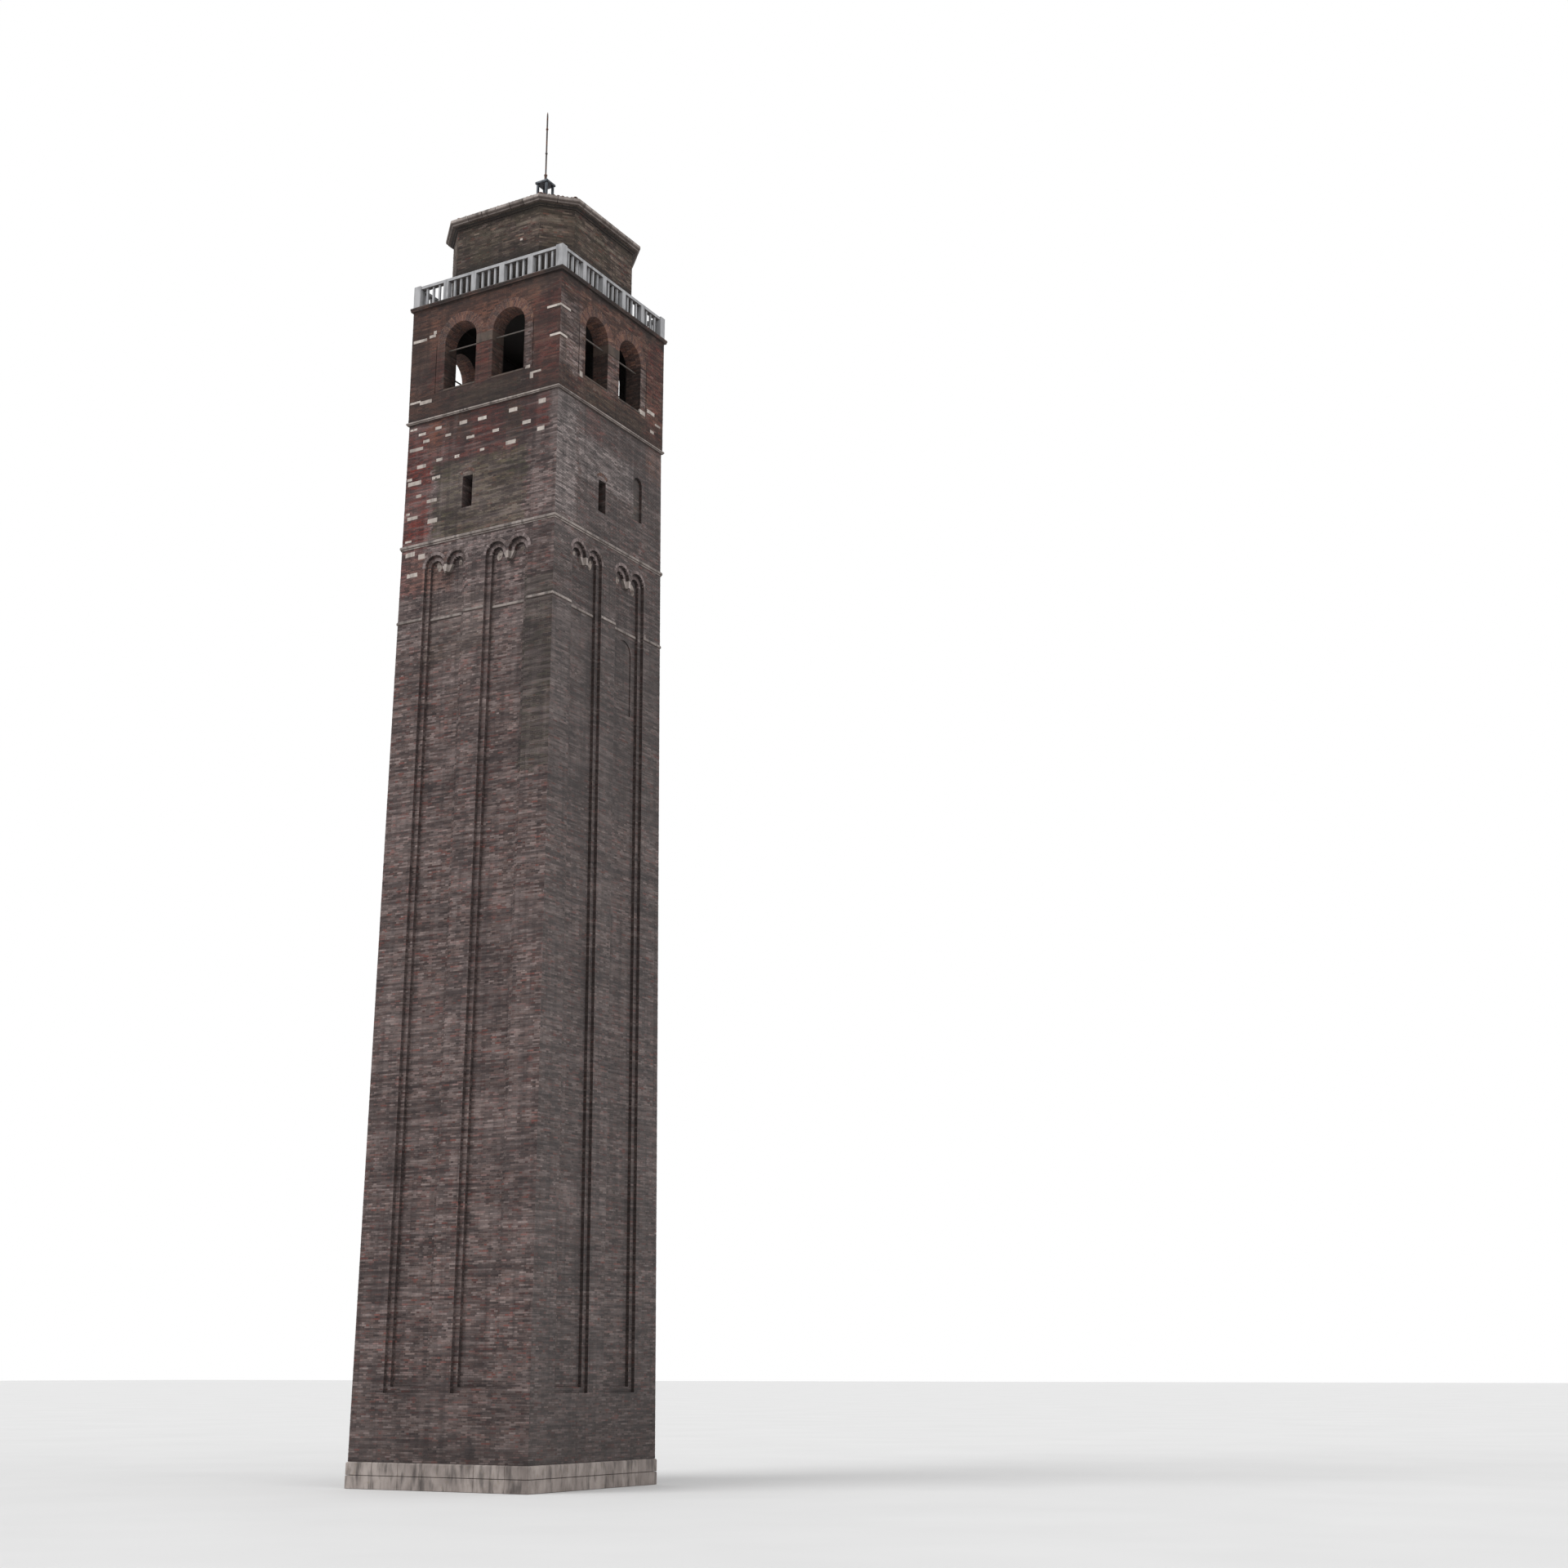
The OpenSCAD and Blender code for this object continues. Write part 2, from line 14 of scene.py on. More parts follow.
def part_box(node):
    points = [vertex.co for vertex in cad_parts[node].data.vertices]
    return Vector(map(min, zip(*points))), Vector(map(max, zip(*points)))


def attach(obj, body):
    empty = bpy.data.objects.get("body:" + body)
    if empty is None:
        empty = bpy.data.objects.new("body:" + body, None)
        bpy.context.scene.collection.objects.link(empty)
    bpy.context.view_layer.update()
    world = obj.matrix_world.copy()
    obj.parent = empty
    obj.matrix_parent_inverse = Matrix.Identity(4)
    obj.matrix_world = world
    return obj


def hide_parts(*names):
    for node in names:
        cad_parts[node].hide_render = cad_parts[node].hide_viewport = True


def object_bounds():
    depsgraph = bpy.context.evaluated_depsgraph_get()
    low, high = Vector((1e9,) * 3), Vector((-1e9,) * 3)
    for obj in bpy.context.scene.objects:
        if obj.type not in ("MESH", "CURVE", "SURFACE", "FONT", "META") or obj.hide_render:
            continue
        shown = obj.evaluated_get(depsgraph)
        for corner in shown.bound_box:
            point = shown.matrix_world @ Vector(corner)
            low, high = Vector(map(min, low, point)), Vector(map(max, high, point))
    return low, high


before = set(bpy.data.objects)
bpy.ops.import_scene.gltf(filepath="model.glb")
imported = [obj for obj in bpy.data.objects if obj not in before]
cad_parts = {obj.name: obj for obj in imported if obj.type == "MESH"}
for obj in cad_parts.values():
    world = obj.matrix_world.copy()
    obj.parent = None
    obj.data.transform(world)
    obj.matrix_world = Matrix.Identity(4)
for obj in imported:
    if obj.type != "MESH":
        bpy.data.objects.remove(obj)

bl_info = {
    "name": "Brick bell tower",
    "version": (1, 0, 0),
    "blender": (4, 5, 0),
    "location": "View3D > Sidebar > Tower",
    "description": "Dresses the bell tower: brickwork, stone, tiles, timber, iron and lead",
    "category": "Object",
}

CAD_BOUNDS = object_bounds()
# How far each face is turned from the front
FACES = {"front": 0.0, "right": math.pi / 2, "back": math.pi, "left": -math.pi / 2}
# The halves of what stands in twos on a face: left or right of its middle
SIDES = (-1, 1)

# Heights and widths that the frame gives
PLINTH_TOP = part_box("plinth")[1].z
PLINTH_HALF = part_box("plinth")[1].x
LOW_STRING_LOW, LOW_STRING_HIGH = (corner.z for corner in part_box("low_string_course"))
MID_STRING_LOW, MID_STRING_HIGH = (corner.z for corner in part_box("middle_string_course"))
SHAFT_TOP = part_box("upper_wall_front")[1].z
PARAPET_LOW, PARAPET_HIGH = (corner.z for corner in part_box("belfry_parapets"))
BELL_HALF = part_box("corner_piers")[1].x
SILL_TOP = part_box("window_sills")[1].z
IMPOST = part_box("impost_blocks")[0].z
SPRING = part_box("arch_wall_front")[0].z
BELL_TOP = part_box("arch_wall_front")[1].z
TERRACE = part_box("terrace_slab")[1].z
DRUM_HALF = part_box("drum_walls")[1].x
DRUM_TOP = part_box("drum_walls")[1].z
CORNICE_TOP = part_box("drum_cornice")[1].z
ROOF_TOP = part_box("drum_roof")[1].z
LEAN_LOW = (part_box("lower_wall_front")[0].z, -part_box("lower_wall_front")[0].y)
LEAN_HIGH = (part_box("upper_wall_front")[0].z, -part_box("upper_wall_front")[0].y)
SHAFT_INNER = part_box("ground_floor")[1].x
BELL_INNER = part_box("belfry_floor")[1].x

# Openings and bays, along a face from its middle
WINDOW_MID = 0.585
WINDOW_HALF = 0.3875
STRAIGHT_JOINT = 1.1805
STRAIGHT_JOINT_HALF = 0.008
# Bed of the lowest string course
LOW_STRING = 15.83
BAY_MID = 0.7314
BAY_HALF = 0.4934
BAY_STEP = 0.1
BAY_DEPTH = 0.065
BAY_FOOT = 1.6
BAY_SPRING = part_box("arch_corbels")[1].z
SMALL_ARCH_R = 0.2317
SMALL_ARCH_MID = 0.2617
SLIT_MID = -0.28
SLIT_HALF = 0.12
SLIT_FOOT = 17.98
SLIT_TOP = 18.64
NICHE_MID = 0.96
NICHE_HALF = 0.145
NICHE_FOOT = 18.225
NICHE_SPRING = 19.025
DRUM_LEG = 0.495
# The doorway: what the shaft's bricks and the plinth's stones leave free for it
DOOR_FREE_HALF = 0.32
DOOR_FREE_TOP = 1.15
DOOR_FRAME_HALF = 0.295

# How far a laid brick stands proud of its bed of mortar, and how deep it is set in it
RELIEF = 0.003
SET = 0.006
# Shorter and lower pieces of brick aren't laid
MIN_LENGTH = 0.018
MIN_HEIGHT = 0.01
# A course that starts so little under an opening already leaves it free
LEVEL_PLAY = 0.02
# Neighbouring arches keep so far from the line where they meet
ARCH_MEETING = 0.004
# Share of its lower bricks that stand proud of the shaft's worn face
PROUD_SHARE = 0.07
# The crack in the right face of the bell chamber: its top, its foot, and its place at the top
CRACK_TOP, CRACK_FOOT = 21.955, 21.685
CRACK_LEFT, CRACK_RIGHT = -1.54, -1.515
CRACK_RUN = 0.34
# The relieving arch over each slit: how far its centre is under the slit's top, radius and ends
RELIEVING_DROP = 0.07
RELIEVING_R = 0.17
RELIEVING_ENDS = (math.radians(35), math.radians(145))
# Stones let into the brick: how far they stand out of it, and their depth
STONE_OUT = 0.0055
STONE_DEPTH = 0.04
# Of those, on each of the two sides that the photograph hides: how many, and the ends of their
# place across, their height, their width and their rise
SCATTERED = 18
SCATTERED_ENDS = ((-1.55, 1.55), (17.7, 19.8), (0.14, 0.28), (0.06, 0.1))
# The one on the drum: its place across, its height, its width and its rise, and its middle's depth
DRUM_STONE = (0.585, 23.6, 0.065, 0.055)
DRUM_STONE_SET = 0.014
# Corners of a plaster patch's outline, and its front and rear, out of the bay's back
PLASTER_CORNERS = 22
PLASTER_FACES = (0.006, -0.004)
# Rings of bricks: how deep they are in the wall, and how many are behind each other in the bell
# chamber's arches
SMALL_ARCH_DEPTH = 0.04
RELIEVING_DEPTH = 0.02
RELIEVING_OUT = 0.001
HOOD_DEPTH = 0.03
ARCH_LEAVES = 3
# What the bricks leave free round the niche's arch
NICHE_PLAY = 0.01
# A brick and its joint, where bricks make a nosing or a cornice
BRICK_ON_EDGE = 0.135
# Height of the cornice's lower course
CORNICE_BED = 0.06
# Wear: how many waves of it a metre holds, and the sharpest angle that isn't rounded off
WEAR_WAVES = 8
WORN_ANGLE = math.radians(35)
# Cut blocks: the seed of their tones, and the pieces that a long one is divided into to be worn
BLOCK_SEED = 1
CUT_LENGTH = 0.12
MAX_CUTS = 12
# Frame nodes: points and faces that count as one, and edges that are divided
SAME_PLACE = 0.0002
FLAT_ANGLE = math.radians(1)
LONG_EDGE = 0.25
# Blocks of a moulding: how uneven their lengths are, as a share, and how far they are out of line
UNEVEN = 0.12
OUT_OF_LINE = 0.0015
# Turned and bent iron: corners of a circle
ROD_CORNERS = 16
RING_CORNERS = 24
WIRE_CORNERS = 8
ROD_R = 0.017
# Boards, the gap between them, and the place of the lock plate on the door
DOOR_PLANKS = 5
FLOOR_BOARDS = 20
BOARD_GAP = 0.002
LOCK_ACROSS = 0.17
LOCK_DROP = 0.03

# Camera: its place, how far it is turned to the left of +Y and how far it looks up, in degrees
CAMERA_PLACE = (24.2, -32.42, 1.95)
CAMERA_TURN = 29.7
CAMERA_PITCH = 15.2
CAMERA_LENS_MM = 49.7
CAMERA_SENSOR_MM = 36
# Soft lights like the sun's: where each stands, in degrees round and up, its strength and its width
LIGHTS = (("key", -30, 48, 1.25, 35), ("fill", 75, 35, 0.5, 60))
SKY_STRENGTH = 0.62
FLOOR_REACH = 400.0
VIEW_REACH = 2000

# Pale stones let into the front: middle across, height, length, height of stone
FRONT_STONES = [
    (-1.61, 21.80, 0.34, 0.065), (-1.30, 21.83, 0.16, 0.065), (-1.24, 21.90, 0.08, 0.08),
    (-1.66, 20.47, 0.26, 0.05), (-1.40, 20.43, 0.30, 0.08), (1.17, 20.40, 0.08, 0.14),
    (1.30, 20.45, 0.19, 0.05), (1.07, 20.60, 0.12, 0.07), (1.43, 19.81, 0.17, 0.1),
    (0.75, 19.78, 0.2, 0.09), (-1.68, 19.90, 0.18, 0.05), (-1.06, 19.81, 0.16, 0.065),
    (-0.45, 19.79, 0.19, 0.08), (0.01, 19.77, 0.21, 0.08), (-1.46, 19.76, 0.18, 0.06),
    (-1.35, 19.59, 0.16, 0.07), (-0.81, 19.60, 0.14, 0.06), (-0.26, 19.44, 0.2, 0.07),
    (0.35, 19.44, 0.16, 0.07), (1.08, 19.45, 0.2, 0.08), (1.42, 19.24, 0.17, 0.09),
    (-1.59, 19.46, 0.34, 0.075), (0.72, 19.11, 0.24, 0.085), (0.04, 19.11, 0.11, 0.06),
    (-0.57, 19.10, 0.12, 0.07), (-1.00, 19.12, 0.15, 0.07), (-1.44, 19.07, 0.22, 0.08),
    (-1.06, 18.76, 0.2, 0.07), (-1.59, 18.74, 0.33, 0.09), (-1.72, 18.84, 0.12, 0.06),
    (-1.47, 18.45, 0.13, 0.07), (-1.14, 18.29, 0.25, 0.075), (-1.60, 18.01, 0.26, 0.075),
    (-1.72, 18.11, 0.1, 0.05), (-1.10, 17.86, 0.24, 0.1), (-1.61, 17.25, 0.23, 0.1),
    (-1.32, 17.16, 0.17, 0.11), (-1.53, 16.81, 0.26, 0.09), (-1.67, 17.53, 0.16, 0.05),
]
# The few on the right face
RIGHT_STONES = [
    (-1.09, 20.57, 0.1, 0.12), (1.06, 20.62, 0.2, 0.1), (1.36, 20.74, 0.28, 0.08),
    (1.42, 20.34, 0.14, 0.07), (1.62, 20.55, 0.2, 0.05),
]
# Stains and mends of the brick, on the front and the back and on the sides: left,
# right, foot, top, what it is and its share. Where they overlap, the later one lies on top
STAINS = {
    "Front": (
        # Red mends under the bell chamber and beside the left corner, sooty at the very edge
        (-2.1, 2.1, 18.9, 20.2, "dark_brick", 0.7), (-2.1, 1.62, 19.3, 20.2, "red_brick", 0.8),
        (-2.1, 0.95, 18.98, 19.4, "red_brick", 0.5), (-2.1, -1.2, 16.4, 19.2, "red_brick", 1.0),
        (-2.1, -1.72, 15.5, 20.1, "soot", 0.5), (-1.33, -0.93, 19.3, 20.2, "ochre_brick", 0.7),
        (-0.9, -0.25, 19.38, 19.98, "algae", 0.65), (0.52, 1.0, 19.14, 19.96, "algae", 0.8),
        (1.03, 1.28, 19.0, 20.1, "dark_brick", 0.55), (1.28, 1.6, 19.34, 19.75, "red_brick", 0.8),
        (1.66, 2.1, 19.2, 20.1, "lime", 0.25), (-2.1, 1.62, 19.25, 20.2, "dark_brick", 0.4),
        (-2.1, -1.2, 16.4, 19.25, "dark_brick", 0.12),
        # A smooth olive field round the slit, greener at its left, rough pale brick at its right
        (-1.08, 1.12, 17.4, 19.0, "wash", 0.9), (-1.03, -0.5, 17.45, 19.0, "algae", 0.35),
        (0.62, 1.12, 18.45, 18.84, "algae", 0.7), (0.0, 1.1, 17.5, 18.3, "lime", 0.12),
        (-0.47, -0.1, 17.9, 18.75, "lime", 0.2), (1.15, 2.1, 17.4, 19.2, "lime", 0.14),
        (1.6, 2.1, 18.5, 20.0, "lime", 0.2),
        # Arcade: ochre at the left, plain above the arches, damp at the lower right
        (-1.65, -0.65, 16.45, 17.15, "ochre_brick", 0.65), (-0.6, 1.3, 16.9, 17.4, "lime", 0.3),
        (-1.2, 0.4, 15.0, 16.3, "wash", 0.3), (1.1, 2.1, 12.5, 16.3, "algae", 0.8),
        (1.05, 2.1, 12.5, 16.4, "soot", 0.4), (-2.1, 1.1, 15.3, 17.4, "lime", 0.22),
        # Bell chamber: warm arches, pale jambs, a damp patch under the windows
        (-2.1, 2.1, 20.0, 22.6, "dark_brick", 0.6), (-1.7, 1.3, 21.5, 22.5, "ochre_brick", 0.55),
        (0.98, 1.16, 20.56, 21.6, "lime", 0.45), (-0.65, 0.87, 20.1, 20.52, "algae", 0.6),
        (0.87, 1.03, 20.1, 20.55, "soot", 0.7), (-0.25, 0.2, 20.6, 21.4, "red_brick", 0.55),
        (-0.35, 0.45, 21.4, 22.1, "ochre_brick", 0.4), (1.2, 2.1, 20.1, 22.1, "red_brick", 0.42),
        (-2.1, -1.4, 20.9, 22.4, "soot", 0.45), (-1.9, -1.0, 20.1, 20.7, "ochre_brick", 0.4),
        # The soot right under the terrace, at the right, is partly painted shade
        (0.9, 1.9, 22.25, 22.6, "soot", 0.5), (-0.9, 0.8, 22.1, 22.5, "ochre_brick", 0.4),
        (-1.35, -1.0, 20.7, 21.5, "red_brick", 0.4),
    ),
    "Side": (
        # Lime washed down beside the near corner, brown brick under the bell chamber
        (-2.1, -1.15, 17.5, 20.1, "lime", 0.9), (-2.1, -1.2, 17.6, 20.1, "lime", 0.3),
        (-1.05, 0.8, 18.5, 19.36, "lime", 0.85), (-0.87, -0.31, 19.3, 20.1, "red_brick", 0.4),
        (-0.31, 1.38, 19.36, 20.1, "dark_brick", 0.6), (1.23, 2.1, 19.3, 20.1, "ochre_brick", 0.5),
        (0.8, 1.12, 18.2, 19.15, "algae", 0.6), (0.78, 1.1, 17.5, 18.2, "soot", 0.4),
        (0.5, 0.76, 18.76, 19.2, "lime", 0.7), (1.3, 2.1, 17.3, 19.3, "soot", 0.35),
        (-0.5, 0.7, 17.5, 18.4, "soot", 0.2),
        # Arcade: sooty, with smears of lime
        (-2.1, 2.1, 12.0, 17.2, "soot", 0.35), (-2.1, -1.2, 16.9, 17.5, "lime", 0.25),
        (0.03, 0.17, 15.8, 16.05, "lime", 0.7), (-0.68, -0.52, 15.7, 15.95, "lime", 0.6),
        (1.1, 1.3, 15.8, 15.97, "lime", 0.6), (-1.9, -1.3, 13.5, 15.8, "lime", 0.25),
        # Bell chamber: pale jambs, soot at the far end
        (-2.1, -1.0, 20.5, 22.0, "lime", 0.5), (0.94, 1.16, 20.56, 21.6, "lime", 0.4),
        (1.2, 1.75, 20.2, 22.3, "red_brick", 0.4), (1.75, 2.1, 20.0, 22.5, "soot", 0.65),
        (1.43, 1.56, 20.85, 21.2, "soot", 0.85), (-1.2, 1.2, 21.7, 22.4, "ochre_brick", 0.3),
        (-1.0, 1.1, 20.05, 20.5, "wash", 0.45), (-0.25, 0.25, 20.6, 21.6, "lime", 0.25),
        # The soot right under the terrace is partly painted shade
        (-1.9, 1.9, 22.35, 22.6, "soot", 0.4),
    ),
}
# Patches of pale plaster under the small arches: face, middle across, height, width, height
PLASTER = [
    ("right", -0.46, 16.86, 0.15, 0.26), ("right", -0.99, 16.93, 0.1, 0.14),
    ("right", 0.48, 16.86, 0.12, 0.22), ("right", 1.0, 16.82, 0.16, 0.28),
    ("front", -0.97, 16.92, 0.18, 0.2), ("front", -0.46, 16.92, 0.1, 0.12),
    ("front", 0.48, 16.88, 0.17, 0.24), ("front", 1.0, 16.92, 0.13, 0.16),
    ("back", -0.46, 16.88, 0.16, 0.22), ("back", 1.0, 16.9, 0.12, 0.18),
    ("left", 0.48, 16.85, 0.15, 0.26), ("left", -0.98, 16.9, 0.13, 0.2),
]


def linear(colour):
    """An sRGB hex colour as linear red, green and blue."""
    shares = [int(colour[i:i + 2], 16) / 255 for i in (1, 3, 5)]
    return tuple(s / 12.92 if s <= 0.04045 else ((s + 0.055) / 1.055) ** 2.4 for s in shares)


def rgba(colour):
    """An sRGB hex colour as a linear colour with full alpha."""
    return (*linear(colour), 1.0)


def measure(name, description, metres):
    """A length that a user can change."""
    return FloatProperty(name=name, description=description, default=metres, unit="LENGTH")


def shade(name, description, colour):
    """A colour that a user can change."""
    return FloatVectorProperty(name=name, description=description, default=linear(colour),
                               subtype="COLOR", min=0, max=1)


class TowerSizes(bpy.types.PropertyGroup):
    """Sizes of the small masonry, in metres at half size"""

    stretcher: measure("Stretcher", "Length of a brick's long side", 0.13)
    header: measure("Header", "Length of a brick's short side", 0.062)
    brick_h: measure("Brick height", "Height of a brick", 0.03)
    joint: measure("Joint", "Width of a mortar joint", 0.005)
    stone_length: measure("Stone length", "Mean length of a dressed stone", 0.45)
    tile_width: measure("Tile width", "Width of a roof tile", 0.09)
    tile_length: measure("Tile length", "Length of a roof tile", 0.21)
    seed: IntProperty(name="Seed", description="Seed of the random wear", default=7, min=1)


class TowerColours(bpy.types.PropertyGroup):
    """Colours of the tower's materials"""

    dark_brick: shade("Dark brick", "Hard-burnt and sooty bricks", "#3b2a28")
    mid_brick: shade("Brick", "Most of the bricks", "#6a524d")
    red_brick: shade("Red brick", "Fresher red bricks", "#7e2f24")
    ochre_brick: shade("Ochre brick", "Soft-burnt orange bricks", "#925e48")
    pale_brick: shade("Pale brick", "Pale, eroded bricks", "#96847f")
    mortar: shade("Mortar", "Lime mortar", "#7f716c")
    soot: shade("Soot", "Black crust", "#221e1d")
    algae: shade("Algae", "Green-black growth on damp brick", "#3b3d2d")
    wash: shade("Worn wash", "Remains of an earthy wash", "#625947")
    lime: shade("Lime", "Lime washed down the brick", "#b9aba8")
    plaster: shade("Plaster", "Old lime plaster", "#a0958e")
    timber: shade("Timber", "Grey-brown oak", "#5a4635")
    iron: shade("Iron", "Wrought iron", "#4c4a49")
    lead: shade("Lead", "Sheet lead", "#34383d")
    tile: shade("Tile", "Clay roof tile", "#936149")


def first_output(node):
    """The first output that a node's settings leave in use."""
    return next(socket for socket in node.outputs if socket.enabled)


def add(tree, kind, inputs=None, **settings):
    """Adds a node with its settings. An input takes a value, a socket or a node's first output."""
    node = tree.nodes.new(kind)
    for key, value in settings.items():
        setattr(node, key, value)
    for key, value in (inputs or {}).items():
        socket = node.inputs[key] if isinstance(key, int) else next(
            s for s in node.inputs if s.enabled and s.name == key)
        if isinstance(value, bpy.types.Node):
            value = first_output(value)
        if isinstance(value, bpy.types.NodeSocket):
            tree.links.new(value, socket)
        elif socket.type == "RGBA" and len(value) == 3:
            socket.default_value = (*value, 1.0)
        else:
            socket.default_value = value
    return node


def calc(tree, operation, *values):
    """A number worked out from up to three others."""
    return add(tree, "ShaderNodeMath", dict(enumerate(values)), operation=operation)


def vector_calc(tree, operation, *values):
    """A vector worked out from up to three others."""
    return add(tree, "ShaderNodeVectorMath", dict(enumerate(values)), operation=operation)


def dot(tree, first, second):
    """How far one vector reaches along another."""
    return vector_calc(tree, "DOT_PRODUCT", first, second).outputs["Value"]


def axes(tree, vector):
    """A vector's X, Y and Z."""
    return add(tree, "ShaderNodeSeparateXYZ", {0: vector}).outputs


def join(tree, x, y, z=0.0):
    """A vector from its X, Y and Z."""
    return add(tree, "ShaderNodeCombineXYZ", {"X": x, "Y": y, "Z": z})


def either(tree, share, a, b):
    """The number a where the share is 0, and b where it is 1."""
    return add(tree, "ShaderNodeMix", {"Factor": share, "A": a, "B": b}, data_type="FLOAT")


def layer(tree, base, colour, *masks):
    """Lays a colour over another where all the masks meet. A mask is a share from 0 to 1."""
    amount = masks[0]
    for mask in masks[1:]:
        amount = calc(tree, "MULTIPLY", amount, mask)
    return add(tree, "ShaderNodeMix", {"Factor": amount, "A": base, "B": colour},
               data_type="RGBA", clamp_factor=True)


def fade(tree, value, start, end):
    """A mask that rises from 0 to 1 while the value goes from start to end, which may be lower."""
    return add(tree, "ShaderNodeMapRange",
               {"Value": value, "From Min": min(start, end), "From Max": max(start, end),
                "To Min": float(start > end), "To Max": float(start < end)}, clamp=True)


def blotches(tree, patches, low, high, detail=4.0, offset=(0, 0, 0), place=None):
    """Soft patches from 0 to 1, at a place, else on the tower. There are so many to a metre along
    every axis, or along X, Y and Z."""
    if not isinstance(patches, tuple):
        patches = (patches, patches, patches)
    place = place or add(tree, "ShaderNodeTexCoord").outputs["Object"]
    moved = add(tree, "ShaderNodeMapping", {"Vector": place, "Scale": patches, "Location": offset})
    cloud = add(tree, "ShaderNodeTexNoise", {"Vector": moved, "Scale": 1.0, "Detail": detail})
    return fade(tree, cloud, low, high)


def coats(tree, colour, rows, step, first=0, place=None):
    """Lays blotchy coats over a colour. A row is a tint, its patches to a metre, where their mask
    starts and ends, and the coat's share. The step shifts each coat's pattern against the last."""
    for number, (tint, patches, low, high, share) in enumerate(rows, first):
        offset = tuple(number * shift for shift in step)
        mask = blotches(tree, patches, low, high, offset=offset, place=place)
        colour = layer(tree, colour, rgba(tint), mask, share)
    return colour


def indoors(tree, half):
    """A mask of the faces inside a square room under the terrace, which get painted shade."""
    place = add(tree, "ShaderNodeTexCoord").outputs["Object"]
    away = axes(tree, vector_calc(tree, "ABSOLUTE", place))
    beside = calc(tree, "MAXIMUM", away["X"], away["Y"])
    beside = fade(tree, beside, half + 0.03, half + 0.005)
    below = fade(tree, away["Z"], BELL_TOP + 0.02, BELL_TOP)
    return calc(tree, "MULTIPLY", beside, below)


def begin(name):
    """A new material's tree."""
    material = bpy.data.materials.new(name)
    material.use_nodes = True
    material.node_tree.nodes.clear()
    return material.node_tree


def end(tree, colour, height, depth, roughness, metallic=0.0):
    """Joins a colour and a relief, whose depth is in metres, to the surface."""
    bump = add(tree, "ShaderNodeBump", {"Height": height, "Strength": 1.0, "Distance": depth})
    surface = add(tree, "ShaderNodeBsdfPrincipled", {
        "Base Color": colour, "Normal": bump, "Roughness": roughness, "Metallic": metallic})
    add(tree, "ShaderNodeOutputMaterial", {"Surface": surface})
    return tree


def unit_tone(tree):
    """Three random shares for each laid unit. They are 0 on a face that isn't of laid units."""
    return axes(tree, add(tree, "ShaderNodeAttribute", attribute_name="tone").outputs["Vector"])


